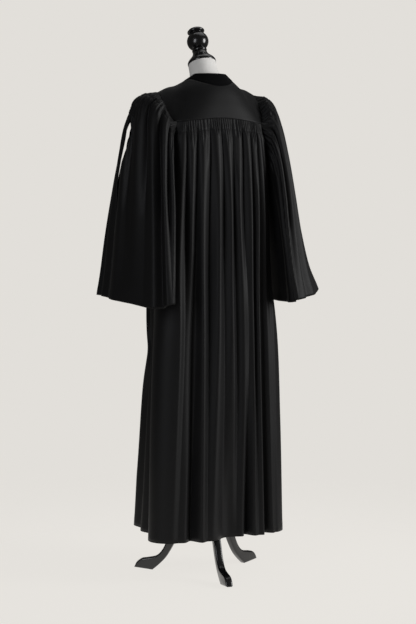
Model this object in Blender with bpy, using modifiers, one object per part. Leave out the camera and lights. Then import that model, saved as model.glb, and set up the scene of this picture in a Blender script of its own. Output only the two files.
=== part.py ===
"""A clergy robe hung on a limbless dress form with a turned tripod stand.

Metres, +Z up. The robe faces -Y, so the wearer's left is +X and the back is +Y.
The origin is on the floor, under the middle of the whole object.
Angles round the body start at the centre back (0), pass the wearer's left (90)
and end at the centre front (180).
"""

import math

import bmesh
import bpy
import numpy as np
from mathutils import Matrix, Vector

# Driving sizes
CLOTH = 0.002
BAND_CLOTH = 0.0034
SEAM = 0.0004
ARMHOLE_GAP = 0.0024
PLACKET_GAP = 0.0009
REST_GAP = 0.0007
HEM_Z = 0.130
FRONT_HEM_RISE = 0.012
UNDERARM_Z = 1.200
SIDE_ANGLE = 90.0
BACK_CORNER = 59.5
FRONT_CORNER = 122.0

POLE_RADIUS = 0.0125
HUB_RADIUS = 0.032
HUB_BOTTOM = 0.128
HUB_TOP = 0.232
FORM_BOTTOM = 0.800
FLANGE_RADIUS = 0.050
FLANGE_THICKNESS = 0.008
NECK_LEAN = math.radians(22.0)
NECK_TOP = Vector((0.0, -0.028, 1.566))
LEG_THICKNESS = 0.022
LEG_COUNT = 3
FIRST_LEG_ANGLE = -40.4
LEG_GAP = 0.0003
LEG_CURVE_POINTS = 21
MERGE = 0.00001

# Each material: colour, roughness, metallic
MATERIALS = {
    "black_robe_cloth": ((0.012, 0.012, 0.012), 0.62, 0.0),
    "black_velvet": ((0.004, 0.004, 0.004), 0.90, 0.0),
    "white_form_jersey": ((0.78, 0.77, 0.74), 0.85, 0.0),
    "black_lacquered_wood": ((0.012, 0.012, 0.012), 0.22, 0.0),
    "black_steel_tube": ((0.05, 0.05, 0.05), 0.35, 1.0),
}


def table(columns, rows):
    """A short table as named columns."""
    names = columns.split()
    return {name: np.array([row[i] for row in rows], float) for i, name in enumerate(names)}


# The robe's smooth upper surface: loops from the neckline down to the yoke seam.
# down is the distance from the neckline along the centre back.
UPPER = table(
    "down   z_back z_side z_front corner_drop half_width back  front square",
    [
        (0.000, 1.531, 1.522, 1.475, 0.000, 0.057, 0.062, 0.068, 2.0),
        (0.020, 1.512, 1.509, 1.459, 0.000, 0.078, 0.073, 0.084, 2.1),
        (0.040, 1.493, 1.498, 1.441, 0.000, 0.099, 0.084, 0.097, 2.2),
        (0.090, 1.445, 1.488, 1.402, 0.006, 0.134, 0.099, 0.105, 2.7),
        (0.140, 1.396, 1.473, 1.362, 0.013, 0.166, 0.108, 0.108, 3.4),
    ],
)
BAND_END = 0.040
BAND_NARROWING = 0.60
BAND_NARROW_ANGLE = 78.0
YOKE_END = 0.140

# The robe's smooth lower surface, by height. Its tapers widen the back and narrow the front.
LOWER = table(
    "z      half_width back   front  square front_square taper front_taper",
    [
        (0.130, 0.210, 0.132, 0.196, 3.0, 4.2, 1.4, 1.02),
        (0.480, 0.200, 0.129, 0.172, 3.0, 3.8, 1.5, 1.35),
        (0.780, 0.184, 0.126, 0.150, 3.0, 3.2, 1.6, 1.60),
        (0.900, 0.178, 0.124, 0.142, 3.1, 3.4, 0.8, 0.80),
        (1.150, 0.172, 0.124, 0.122, 3.2, 3.2, 0.4, 0.40),
        (1.270, 0.169, 0.122, 0.113, 3.4, 3.4, 0.1, 0.10),
        (1.340, 0.167, 0.117, 0.109, 3.4, 3.4, 0.0, 0.00),
        (1.400, 0.166, 0.108, 0.108, 3.4, 3.4, 0.0, 0.00),
    ],
)

# Wide hollows of the skirt, by angle from the centre back, deepest at the hem. The
# cloth falls inwards beside the side seams and behind the stand's rear leg.
HOLLOWS = table(
    "angle  half_angle top_z depth",
    [
        (-99.0, 13.0, 1.050, 0.040),
        (-4.0, 15.0, 0.640, 0.018),
        (99.0, 13.0, 1.050, 0.040),
    ],
)

# Flutes of the back panel. Each row is one ridge: its distance from the centre back
# towards the wearer's left at four heights, how far it stands out at them, and how far the valley
# after it lies in. Where that is below 0, the ridge has merged with the next.
BACK_LEVELS = (1.365, 1.150, 0.850, 0.130)
BACK_FOLDS = table(
    "at_yoke at_blade at_waist at_hem  out_yoke out_blade out_waist out_hem  in_yoke in_blade in_waist in_hem",
    [
        (-0.137, -0.158, -0.170, -0.188, 0.005, 0.009, 0.012, 0.012, 0.005, 0.008, -0.006, -0.008),
        (-0.123, -0.138, -0.148, -0.166, 0.006, 0.009, 0.008, 0.010, 0.005, 0.008, 0.008, 0.020),
        (-0.104, -0.111, -0.112, -0.125, 0.006, 0.010, 0.010, 0.012, 0.006, 0.009, 0.006, -0.006),
        (-0.075, -0.083, -0.088, -0.098, 0.007, 0.012, 0.012, 0.008, 0.006, 0.007, -0.006, 0.028),
        (-0.048, -0.044, -0.060, -0.058, 0.006, 0.009, 0.006, 0.002, 0.005, 0.008, 0.008, 0.000),
        (-0.007, -0.014, -0.019, -0.030, 0.006, 0.011, 0.010, 0.000, 0.006, 0.009, 0.004, -0.002),
        (0.027, 0.026, 0.026, 0.055, 0.007, 0.013, 0.011, 0.016, 0.006, 0.011, 0.011, -0.012),
        (0.071, 0.079, 0.080, 0.092, 0.006, 0.012, 0.014, 0.022, 0.005, 0.009, 0.004, 0.016),
        (0.106, 0.111, 0.114, 0.145, 0.005, 0.008, -0.002, 0.008, 0.005, 0.007, 0.004, -0.006),
        (0.132, 0.140, 0.150, 0.182, 0.005, 0.008, 0.012, 0.012, 0.005, 0.007, 0.008, 0.010),
    ],
)

# Flutes of one front panel, by distance from the centre front.
FRONT_LEVELS = (1.345, 1.150, 0.850, 0.130)
FRONT_FOLDS = table(
    "at_yoke at_blade at_waist at_hem  out_yoke out_blade out_waist out_hem  in_yoke in_blade in_waist in_hem",
    [
        (0.052, 0.054, 0.056, 0.062, 0.004, 0.008, 0.010, 0.013, 0.004, 0.007, 0.008, 0.010),
        (0.086, 0.090, 0.094, 0.104, 0.005, 0.009, 0.009, 0.012, 0.004, 0.008, 0.004, 0.002),
        (0.118, 0.124, 0.132, 0.148, 0.005, 0.009, 0.012, 0.016, 0.004, 0.007, 0.008, 0.010),
        (0.144, 0.152, 0.162, 0.176, 0.004, 0.006, 0.007, 0.008, 0.004, 0.006, 0.006, 0.006),
    ],
)

# Sleeve rings. Each row gives where the ring lies at the outer side (the left arm and the right),
# the inner side, the back and the front of the arm. The armhole is the ring before the first.
SLEEVE_RINGS = table(
    "run   left_x right_x outer_z inner_x inner_z back_x back_y front_x front_y",
    [
        (0.035, 0.198, 0.192, 1.468, 0.184, 1.182, 0.170, 0.106, 0.174, -0.108),
        (0.075, 0.230, 0.220, 1.449, 0.190, 1.152, 0.176, 0.117, 0.190, -0.116),
        (0.130, 0.251, 0.241, 1.403, 0.196, 1.110, 0.182, 0.129, 0.208, -0.125),
        (0.215, 0.263, 0.265, 1.320, 0.202, 1.058, 0.188, 0.141, 0.228, -0.130),
        (0.335, 0.277, 0.295, 1.200, 0.209, 0.996, 0.194, 0.154, 0.246, -0.134),
        (0.465, 0.291, 0.326, 1.070, 0.215, 0.940, 0.200, 0.167, 0.260, -0.138),
        (0.585, 0.303, 0.362, 0.950, 0.220, 0.888, 0.206, 0.179, 0.270, -0.141),
        (0.680, 0.313, 0.400, 0.868, 0.224, 0.846, 0.211, 0.190, 0.278, -0.144),
        (0.730, 0.319, 0.418, 0.824, 0.226, 0.806, 0.213, 0.194, 0.281, -0.146),
    ],
)
SLEEVE_END = 0.680

# The cuff's hem droops behind the outer side: how much longer the sleeve is, by angle round the arm.
CUFF_HEM = table(
    "angle  left   right",
    [
        (-180.0, 0.000, 0.004),
        (-60.0, 0.000, 0.000),
        (-20.0, 0.008, -0.004),
        (20.0, 0.022, -0.002),
        (55.0, 0.032, 0.004),
        (85.0, 0.012, 0.008),
        (130.0, 0.000, 0.012),
        (180.0, 0.000, 0.004),
    ],
)
HEM_SHAPE_START = 0.300
YOKE_SHARE_ANGLE = 70.0

# Flutes of a sleeve, by angle round the arm: 0 outer side, 90 back, 180 inner, 270 front.
SLEEVE_LEVELS = (0.060, 0.250, 0.450, 0.680)
SLEEVE_FOLDS = table(
    "at_head at_arm at_elbow at_cuff  out_head out_arm out_elbow out_cuff  in_head in_arm in_elbow in_cuff",
    [
        (-148.0, -150.0, -152.0, -152.0, 0.001, 0.003, 0.004, 0.004, 0.002, 0.004, 0.004, 0.004),
        (-112.0, -112.0, -112.0, -112.0, 0.003, 0.007, 0.008, 0.009, 0.003, 0.006, 0.007, 0.008),
        (-84.0, -84.0, -84.0, -84.0, 0.004, 0.008, 0.009, 0.010, 0.003, 0.004, 0.006, 0.008),
        (-58.0, -60.0, -62.0, -62.0, 0.004, 0.004, 0.008, 0.012, 0.003, 0.003, 0.005, 0.007),
        (-34.0, -34.0, -34.0, -34.0, 0.004, 0.003, 0.005, 0.004, 0.004, 0.004, 0.005, 0.006),
        (-12.0, -8.0, -6.0, -4.0, 0.005, 0.006, 0.005, 0.004, 0.004, 0.004, 0.000, -0.003),
        (12.0, 16.0, 20.0, 22.0, 0.006, 0.006, 0.003, 0.002, 0.004, 0.004, 0.001, -0.002),
        (36.0, 42.0, 48.0, 52.0, 0.006, 0.008, 0.008, 0.008, 0.005, 0.008, 0.010, 0.010),
        (60.0, 64.0, 70.0, 76.0, 0.006, 0.008, 0.006, 0.006, 0.005, 0.007, 0.002, -0.004),
        (84.0, 88.0, 94.0, 102.0, 0.005, 0.010, 0.010, 0.009, 0.004, 0.008, 0.006, 0.004),
        (112.0, 116.0, 120.0, 128.0, 0.003, 0.006, 0.006, 0.007, 0.002, 0.004, 0.004, 0.004),
        (148.0, 150.0, 152.0, 160.0, 0.001, 0.002, 0.002, 0.002, 0.001, 0.002, 0.002, 0.002),
    ],
)

# Rows and columns of the panels
COLUMNS_PER_FOLD = 5
NECK_COLUMNS = 45
BAND_ROWS = 4
YOKE_SHARES = (0.0, 0.25, 0.50, 0.75, 1.0)
PLACKET_ANGLE = 12.0
BACK_DEPTHS = (0.0, 0.012, 0.028, 0.048, 0.09, 0.145, 0.22, 0.34, 0.50, 0.66, 0.82, 1.0)
FRONT_DEPTHS = (0.0, 0.012, 0.028, 0.048, 0.09, 0.16, 0.28, 0.46, 0.72, 1.0)
SLEEVE_RUNS = (0.0, 0.014, 0.032, 0.060, 0.095, 0.135, 0.185, 0.250, 0.320, 0.430, 0.555, SLEEVE_END)

# The fade of the gathers into flutes, by distance from the seam
GATHER_START = 0.012
GATHER_END = 0.055
GATHER_FADE = 0.030
FLUTE_START = 0.055
BODY_GATHER = 0.0016
SLEEVE_GATHER = 0.0012

# The flat stretches beside the side seams and the centre front, in degrees
SIDE_FLAT = 7.0
CENTRE_FLAT = 9.0

# The arm slits, by distance along the sleeve. The near one is the outer front seam left open, so
# that the sleeve's back half gapes away from its front half. The far one is cut in the front half,
# and light shows through both. Each edge's place is in phases of the flutes.
SLITS = table(
    "run   near_front near_back far_inner far_outer",
    [
        (0.060, 5.00, 5.00, 3.60, 3.70),
        (0.095, 5.00, 5.00, 3.15, 3.75),
        (0.135, 4.95, 5.82, 2.98, 3.45),
        (0.185, 4.93, 5.93, 2.92, 3.25),
        (0.250, 4.84, 5.65, 3.03, 3.20),
        (0.320, 4.78, 5.02, 3.07, 3.12),
        (0.430, 5.00, 5.00, 3.10, 3.10),
    ],
)
SLIT_SEAM = 5
SLIT_START = 0.060
SLIT_END = 0.320

# The columns, by number, that are spread afresh beside the slits, and the phases that stay put
FAR_SLIT = (10, 15, 16, 20)
FAR_SPREAD = (2.0, 4.0)
NEAR_SPREAD = 10
SEAM_PHASE = 0.013

YOKE_Z = 1.37
NORMAL_STEP = 0.5
SLEEVE_STEP = 0.004

# A row's heights follow its angles and its angles its heights: passes that settle them
HEIGHT_PASSES = 3

# How much a wall counts as facing up, against facing away from the pole, where it is moved out
UPWARD = 0.1

# The share of a loop's half width beyond which a ridge is not placed
WIDEST_SHARE = 0.995

# The dress form's neck, from its top down, and its torso below the yoke. The neck leans forward,
# so its upper rings stand towards -Y.
NECK = table(
    "centre_y centre_z radius lean",
    [
        (-0.0280, 1.566, 0.0425, 22.0),
        (-0.0190, 1.543, 0.0430, 20.0),
        (-0.0080, 1.520, 0.0460, 22.0),
        (0.0000, 1.496, 0.0485, 36.0),
    ],
)
FORM = table(
    "z_back z_side z_front half_width back  front square corner_drop",
    [
        (1.374, 1.453, 1.346, 0.180, 0.100, 0.099, 3.2, 0.006),
        (1.350, 1.430, 1.328, 0.184, 0.096, 0.096, 3.0, 0.0),
        (1.318, 1.388, 1.298, 0.174, 0.092, 0.094, 2.8, 0.0),
        (1.265, 1.320, 1.255, 0.158, 0.088, 0.092, 2.6, 0.0),
        (1.190, 1.210, 1.185, 0.142, 0.084, 0.090, 2.4, 0.0),
        (1.080, 1.080, 1.080, 0.122, 0.074, 0.078, 2.3, 0.0),
        (0.950, 0.950, 0.950, 0.143, 0.086, 0.086, 2.4, 0.0),
        (0.850, 0.850, 0.850, 0.146, 0.086, 0.082, 2.4, 0.0),
        (0.812, 0.812, 0.812, 0.142, 0.082, 0.078, 2.4, 0.0),
        (FORM_BOTTOM, FORM_BOTTOM, FORM_BOTTOM, 0.132, 0.072, 0.068, 2.4, 0.0),
    ],
)

# Turned profiles: height along the neck's axis, radius.
CAP_PROFILE = [
    (0.0004, 0.0425),
    (0.004, 0.0436),
    (0.010, 0.0420),
    (0.018, 0.0350),
    (0.027, 0.0265),
    (0.035, 0.0225),
    (0.040, 0.0215),
]
FINIAL_BEAD = [
    (0.0403, 0.0180),
    (0.042, 0.0215),
    (0.045, 0.0228),
    (0.048, 0.0205),
    (0.0495, 0.0175),
]
FINIAL_BALL_RADIUS = 0.0332
FINIAL_BALL_CENTRE = 0.0760
FINIAL_BALL_TALL = 0.93
FINIAL_BALL_LOW = -58.0
FINIAL_BALL_HIGH = 53.6
FINIAL_BALL_POINTS = 10
FINIAL_DOME = [
    (0.1055, 0.0215),
    (0.1080, 0.0262),
    (0.1125, 0.0262),
    (0.1170, 0.0215),
    (0.1205, 0.0120),
    (0.1218, 0.0040),
]
TURNING_STEPS = 28
HUB_END_RADIUS = 0.014
HUB_NECK_RADIUS = 0.022
HUB_PROFILE = [
    (HUB_BOTTOM, HUB_END_RADIUS),
    (HUB_BOTTOM + 0.006, 0.027),
    (HUB_BOTTOM + 0.014, HUB_RADIUS),
    (HUB_TOP - 0.018, HUB_RADIUS),
    (HUB_TOP - 0.010, 0.025),
    (HUB_TOP - 0.004, HUB_NECK_RADIUS),
    (HUB_TOP, 0.018),
]
POLE_COLLAR_HEIGHT = 0.020
POLE_FLARE_HEIGHT = 0.006
POLE_FLARE = 0.008

# Outline of one leg: distance from the pole's axis, height.
LEG_UPPER = [
    (HUB_RADIUS, 0.205),
    (0.062, 0.196),
    (0.090, 0.170),
    (0.113, 0.124),
    (0.131, 0.080),
    (0.146, 0.056),
    (0.163, 0.043),
    (0.188, 0.037),
    (0.208, 0.033),
    (0.222, 0.022),
    (0.232, 0.006),
]
LEG_LOWER = [
    (0.231, 0.0),
    (0.171, 0.0),
    (0.149, 0.019),
    (0.127, 0.043),
    (0.106, 0.078),
    (0.086, 0.118),
    (0.062, 0.150),
    (HUB_RADIUS, 0.160),
]


def smooth(value):
    """Eases from 0 to 1 as value goes from 0 to 1."""
    clipped = np.clip(value, 0.0, 1.0)
    return clipped * clipped * (3.0 - 2.0 * clipped)


def along(keys, values, at):
    """A smooth curve through a table's values, read at one or many places."""
    slopes = np.gradient(values, keys)
    at = np.clip(at, keys[0], keys[-1])
    low = np.clip(np.searchsorted(keys, at, side="right") - 1, 0, len(keys) - 2)
    step = keys[low + 1] - keys[low]
    t = (at - keys[low]) / step
    rise = values[low + 1] - values[low]
    eased = values[low] + rise * (3.0 * t**2 - 2.0 * t**3)
    return eased + step * (slopes[low] * (t**3 - 2.0 * t**2 + t) + slopes[low + 1] * (t**3 - t**2))


def section(rows, at):
    """Every column of a table, read where its first column has that value."""
    key = next(iter(rows))
    return {name: along(rows[key], rows[name], at) for name in rows}


def loop_radius(angle, row):
    """Distance of a rounded loop from its centre, at an angle from the centre back."""
    is_back = np.cos(angle) >= 0.0
    depth = np.where(is_back, row["back"], row["front"])
    square = np.where(is_back, row["square"], row.get("front_square", row["square"]))
    total = np.abs(np.sin(angle) / row["half_width"]) ** square + np.abs(np.cos(angle) / depth) ** square
    return total ** (-1.0 / square)


def loop_height(angle, row):
    """Height of a loop that rises over the shoulders between level back and front runs."""
    is_back = np.cos(angle) >= 0.0
    corner = np.radians(np.where(is_back, BACK_CORNER, FRONT_CORNER))
    level = np.where(is_back, row["z_back"], row["z_front"])
    level = level - row["corner_drop"] * (np.sin(angle) / np.sin(corner)) ** 2
    return row["z_side"] + (level - row["z_side"]) * smooth(np.cos(angle) / np.cos(corner))


def upper_points(degrees, down):
    """Points of the smooth neckband and yoke surface."""
    angle = np.radians(degrees)
    row = section(UPPER, down)
    radius = loop_radius(angle, row)
    return np.stack([radius * np.sin(angle), radius * np.cos(angle), loop_height(angle, row)], axis=-1)


def hollow_depth(degrees, z):
    """How far the skirt falls inwards in its wide hollows."""
    depth = 0.0
    for angle, half_angle, top_z, at_hem in zip(*HOLLOWS.values()):
        share = smooth((top_z - z) / (top_z - HEM_Z))
        depth = depth + at_hem * share * np.exp(-(((degrees - angle) / half_angle) ** 2))
    return depth


def lower_points(degrees, z):
    """Points of the smooth surface of the body panels."""
    angle = np.radians(degrees)
    row = section(LOWER, z)
    radius = loop_radius(angle, row) - hollow_depth(degrees, z)
    y = radius * np.cos(angle)
    taper = np.where(y >= 0.0, row["taper"], row["front_taper"])
    flat = np.stack([radius * np.sin(angle) * (1.0 + taper * y), y], axis=-1)
    heights = np.broadcast_to(z, radius.shape)[..., None]
    return np.concatenate([flat, heights], axis=-1)


def lower_normals(degrees, z):
    """The outward directions of that surface, in plan."""
    run = lower_points(degrees + NORMAL_STEP, z) - lower_points(degrees - NORMAL_STEP, z)
    normals = np.stack([-run[..., 1], run[..., 0], np.zeros(run.shape[:-1])], axis=-1)
    outward = np.sign((normals * lower_points(degrees, z)).sum(axis=-1))
    return normals * (outward / np.linalg.norm(normals, axis=-1))[..., None]


def seam_height(degrees):
    """Height of the top of the body panels, which hang from the yoke."""
    return upper_points(degrees, YOKE_END)[..., 2] - SEAM


def hem_height(degrees):
    """The hem rises a little towards the centre front."""
    return HEM_Z + FRONT_HEM_RISE * smooth((np.abs(degrees) - SIDE_ANGLE) / SIDE_ANGLE)


def panel_edge(z, is_back):
    """Angle of a panel's side edge: the armhole above the underarm, the side seam below."""
    corner = BACK_CORNER if is_back else FRONT_CORNER
    top = seam_height(corner)
    gap = math.degrees(SEAM / LOWER["half_width"][0]) * (-1.0 if is_back else 1.0)
    return corner + (SIDE_ANGLE + gap - corner) * smooth((top - z) / (top - UNDERARM_Z))


def angle_across(distance, z, is_back):
    """Angle at which the smooth surface lies that far sideways of the centre line."""
    row = section(LOWER, z)
    end = row["back"] if is_back else -row["front"]
    square = row["square"] if is_back else row["front_square"]
    taper = row["taper"] if is_back else row["front_taper"]
    across = np.abs(distance) / (1.0 + taper * end)
    share = np.clip(across / row["half_width"], 0.0, WIDEST_SHARE)
    depth = np.abs(end) * (1.0 - share**square) ** (1.0 / square)
    degrees = np.degrees(np.arctan2(share * row["half_width"], depth))
    return np.sign(distance) * degrees if is_back else 180.0 - degrees


def at_level(levels, folds, prefix, level):
    """The value of every fold at a level, between the levels that the table names."""
    order = np.argsort(levels)
    keys = np.array(levels)[order]
    columns = np.array([folds[name] for name in folds if name.startswith(prefix)])[order]
    return np.array([along(keys, columns[:, fold], level) for fold in range(columns.shape[1])])


def between_stops(stops, phase, ease):
    """Reads a row of stops, two to a fold, at each column's phase."""
    low = np.minimum((2.0 * phase).astype(int), len(stops) - 2)
    share = ease(2.0 * phase - low)
    place = np.arange(len(phase))
    return stops[low, place] * (1.0 - share) + stops[low + 1, place] * share


def fold_track(start, ridges, end, phase):
    """Place on a row of folds: whole phases are valleys, half phases are ridges."""
    stops = np.empty((2 * len(ridges) + 1, len(phase)))
    stops[0] = start
    stops[-1] = end
    stops[1::2] = ridges
    stops[2:-1:2] = (ridges[:-1] + ridges[1:]) / 2.0
    return between_stops(stops, phase, lambda share: share)


def fold_out(heights, depths, phase, is_tube):
    """How far the cloth stands out of its smooth surface at each column's phase."""
    stops = np.empty((2 * len(heights) + 1, len(phase)))
    stops[1::2] = heights
    stops[2::2] = -depths
    stops[0] = stops[-1] = stops[-1] if is_tube else 0.0
    return between_stops(stops, phase, lambda share: 0.5 - 0.5 * np.cos(np.pi * share))


def gathers(phase, from_seam, height):
    """Fine gathers beside a seam, two to a flute, that fade as the flutes take over."""
    window = smooth(from_seam / GATHER_START) * smooth((GATHER_END - from_seam) / GATHER_FADE)
    return height * window * np.cos(4.0 * np.pi * phase)


def add_object(mesh, name, material, collection):
    """Links a mesh as a named piece with its material."""
    piece = bpy.data.objects.new(name, mesh)
    mesh.materials.append(material)
    collection.objects.link(piece)
    return piece


def sheet_mesh(name, rows, holes):
    """A mesh from rows of points, as a cutter lays out a panel. holes names the cells left out."""
    mesh = bpy.data.meshes.new(name)
    shape = bmesh.new()
    grid = [[shape.verts.new(point) for point in row] for row in rows]
    for i, (upper, lower) in enumerate(zip(grid[:-1], grid[1:])):
        for j in range(len(upper) - 1):
            if (i, j) not in holes:
                shape.faces.new((upper[j], upper[j + 1], lower[j + 1], lower[j]))
    bmesh.ops.recalc_face_normals(shape, faces=shape.faces)
    shape.to_mesh(mesh)
    shape.free()
    return mesh


def cloth_wall(name, rows, material, collection, thickness=CLOTH, holes=()):
    """A panel of cloth with its thickness on both sides of the rows of points."""
    piece = add_object(sheet_mesh(name, rows, holes), name, material, collection)
    wall = piece.modifiers.new("thickness", "SOLIDIFY")
    wall.thickness = thickness
    wall.offset = 0.0
    return piece


def solid_of_rings(name, rings, material, collection):
    """A closed smooth solid lofted through rings, with a flat face at each end."""
    mesh = bpy.data.meshes.new(name)
    shape = bmesh.new()
    grid = [[shape.verts.new(point) for point in ring] for ring in rings]
    count = len(grid[0])
    for upper, lower in zip(grid[:-1], grid[1:]):
        for j in range(count):
            k = (j + 1) % count
            shape.faces.new((upper[j], upper[k], lower[k], lower[j]))
    shape.faces.new(grid[0])
    shape.faces.new(grid[-1])
    bmesh.ops.recalc_face_normals(shape, faces=shape.faces)
    shape.to_mesh(mesh)
    shape.free()
    return add_object(mesh, name, material, collection)


def turned(name, profile, material, collection):
    """A turned solid: profile runs up the axis as height, radius, and closes on it."""
    mesh = bpy.data.meshes.new(name)
    shape = bmesh.new()
    heights = [profile[0][0]] + [height for height, _ in profile] + [profile[-1][0]]
    radii = [0.0] + [radius for _, radius in profile] + [0.0]
    points = [shape.verts.new((radius, 0.0, height)) for radius, height in zip(radii, heights)]
    for low, high in zip(points[1:], points[:-1]):
        shape.edges.new((low, high))
    shape.to_mesh(mesh)
    shape.free()
    piece = add_object(mesh, name, material, collection)
    screw = piece.modifiers.new("turning", "SCREW")
    screw.axis = "Z"
    screw.steps = TURNING_STEPS
    screw.render_steps = TURNING_STEPS
    screw.use_merge_vertices = True
    screw.merge_threshold = MERGE
    return piece


def body_columns(fold_count):
    """Phases of a panel's columns, the same number for each fold."""
    return np.linspace(0.0, fold_count, fold_count * COLUMNS_PER_FOLD + 1)


def body_panel(folds, levels, is_back, side, depths):
    """Rows of points of the back panel, or of the front panel on one side (1 left, -1 right)."""
    columns = body_columns(len(folds["at_yoke"]))
    middle = 180.0 - math.degrees(SEAM / LOWER["front"][-1])
    inwards = 1.0 if is_back else -1.0
    rows = []
    for depth in depths:
        z = np.full(len(columns), YOKE_Z)
        for _ in range(HEIGHT_PASSES):
            ridges = angle_across(at_level(levels, folds, "at_", z), z, is_back)
            edge = panel_edge(z, is_back)
            degrees = fold_track(-edge if is_back else middle, ridges, edge, columns)
            top = seam_height(degrees)
            z = top + (hem_height(degrees) - top) * depth
        from_seam = top - z
        heights = at_level(levels, folds, "out_", z)
        valleys = at_level(levels, folds, "in_", z)
        out = fold_out(heights, valleys, columns, False) * smooth(from_seam / FLUTE_START)
        out += gathers(columns, from_seam, BODY_GATHER)
        out *= smooth((edge - np.abs(degrees)) * inwards / SIDE_FLAT)
        if not is_back:
            out *= smooth((middle - degrees - CENTRE_FLAT) / CENTRE_FLAT)
        points = lower_points(degrees, z) + lower_normals(degrees, z) * out[:, None]
        rows.append(points * [1.0 if is_back else side, 1.0, 1.0])
    return rows


def armhole_points(degrees):
    """Points of the armhole, by angle round the arm (0 top, 90 back, 180 underarm)."""
    turn = (degrees + 180.0) % 360.0 - 180.0
    is_back = turn >= 0.0
    corner = np.where(is_back, BACK_CORNER, FRONT_CORNER)
    share = np.abs(turn) / YOKE_SHARE_ANGLE
    on_yoke = upper_points(SIDE_ANGLE + (corner - SIDE_ANGLE) * np.minimum(share, 1.0), YOKE_END)
    share = (np.abs(turn) - YOKE_SHARE_ANGLE) / (180.0 - YOKE_SHARE_ANGLE)
    top = seam_height(corner)
    z = top + (UNDERARM_Z - top) * np.clip(share, 0.0, 1.0)
    edge = np.where(is_back, panel_edge(z, True), panel_edge(z, False))
    points = np.where((share <= 0.0)[:, None], on_yoke, lower_points(edge, z))
    points[:, 0] += ARMHOLE_GAP + (CLOTH / 2.0 + SEAM) * 0.5 * (1.0 - np.cos(np.radians(turn)))
    return points


def ring_points(degrees, run, outer_name):
    """Points of the sleeve's smooth surface beyond the armhole."""
    turn = np.radians(degrees)
    row = section(SLEEVE_RINGS, run)
    outer_x = row[outer_name]
    centre_x = (outer_x + row["inner_x"]) / 2.0
    centre_z = (row["outer_z"] + row["inner_z"]) / 2.0
    is_back = np.sin(turn) >= 0.0
    spread = np.abs(np.sin(turn))
    end_x = np.where(is_back, row["back_x"], row["front_x"])
    end_y = np.where(is_back, row["back_y"], row["front_y"])
    outer = centre_x + (outer_x - centre_x) * np.cos(turn) + (end_x - centre_x) * spread
    inner = row["inner_x"] + (end_x - row["inner_x"]) * spread
    x = np.where(np.cos(turn) >= 0.0, outer, inner)
    z = centre_z + (row["outer_z"] - centre_z) * np.cos(turn)
    return np.stack([x, end_y * spread, z], axis=-1)


def sleeve_points(degrees, run, outer_name):
    """The sleeve's smooth surface, from the armhole to the cuff."""
    first = SLEEVE_RINGS["run"][0]
    if run < first:
        share = run / first
        return armhole_points(degrees) * (1.0 - share) + ring_points(degrees, first, outer_name) * share
    turn = (degrees + 180.0) % 360.0 - 180.0
    droop = along(CUFF_HEM["angle"], CUFF_HEM[outer_name.removesuffix("_x")], turn)
    droop = droop * smooth((run - HEM_SHAPE_START) / (SLEEVE_END - HEM_SHAPE_START))
    return ring_points(degrees, run + droop, outer_name)


def sleeve_normals(degrees, run, outer_name):
    """The outward directions of that surface."""
    ahead = sleeve_points(degrees + NORMAL_STEP, run, outer_name)
    round_arm = ahead - sleeve_points(degrees - NORMAL_STEP, run, outer_name)
    before = sleeve_points(degrees, max(run - SLEEVE_STEP, 0.0), outer_name)
    down_arm = sleeve_points(degrees, run + SLEEVE_STEP, outer_name) - before
    normals = np.cross(round_arm, down_arm)
    points = sleeve_points(degrees, run, outer_name)
    centre = sleeve_points(np.array([0.0, 180.0]), run, outer_name).mean(axis=0)
    outward = np.sign((normals * (points - centre)).sum(axis=-1))
    return normals * (outward / np.linalg.norm(normals, axis=-1))[:, None]


def sleeve_rows(side, runs, columns, outer_name):
    """Rows of points of a sleeve, fluted from its head to its cuff."""
    rows = []
    for run, phases in zip(runs, columns):
        ridges = at_level(SLEEVE_LEVELS, SLEEVE_FOLDS, "at_", run)[:, None]
        heights = at_level(SLEEVE_LEVELS, SLEEVE_FOLDS, "out_", run)[:, None]
        start = (ridges[0] + ridges[-1] - 360.0) / 2.0
        degrees = fold_track(start, ridges, start + 360.0, phases)
        valleys = at_level(SLEEVE_LEVELS, SLEEVE_FOLDS, "in_", run)[:, None]
        out = fold_out(heights, valleys, phases, True) * smooth(run / FLUTE_START)
        out += gathers(phases, run, SLEEVE_GATHER) * (0.5 + 0.5 * np.cos(np.radians(degrees)))
        points = sleeve_points(degrees, run, outer_name) + sleeve_normals(degrees, run, outer_name) * out[:, None]
        rows.append(points * [side, 1.0, 1.0])
    return rows


def slit_edges(run):
    """Phases of the four edges of the slits at a distance along the sleeve."""
    return [float(np.interp(run, SLITS["run"], SLITS[name])) for name in list(SLITS)[1:]]


def back_columns(run):
    """Phases of the columns of a sleeve's back half, drawn aside at the near slit."""
    last = len(SLEEVE_FOLDS["at_head"])
    phases = np.linspace(SLIT_SEAM, last, (last - SLIT_SEAM) * COLUMNS_PER_FOLD + 1)
    near_back = slit_edges(run)[1]
    phases[: NEAR_SPREAD + 1] = np.linspace(near_back + SEAM_PHASE, phases[NEAR_SPREAD], NEAR_SPREAD + 1)
    phases[-1] -= SEAM_PHASE
    return phases


def front_columns(run):
    """Phases of the columns of a sleeve's front half, drawn aside at both slits."""
    phases = np.linspace(0, SLIT_SEAM, SLIT_SEAM * COLUMNS_PER_FOLD + 1)
    near_front, _, far_inner, far_outer = slit_edges(run)
    start, low, high, end = FAR_SLIT
    if SLIT_START <= run <= SLIT_END:
        phases[start : low + 1] = np.linspace(FAR_SPREAD[0], far_inner, low + 1 - start)
        phases[high : end + 1] = np.linspace(far_outer, FAR_SPREAD[1], end + 1 - high)
    phases[end:] = np.linspace(FAR_SPREAD[1], near_front - SEAM_PHASE, len(phases) - end)
    phases[0] += SEAM_PHASE
    return phases


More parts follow.
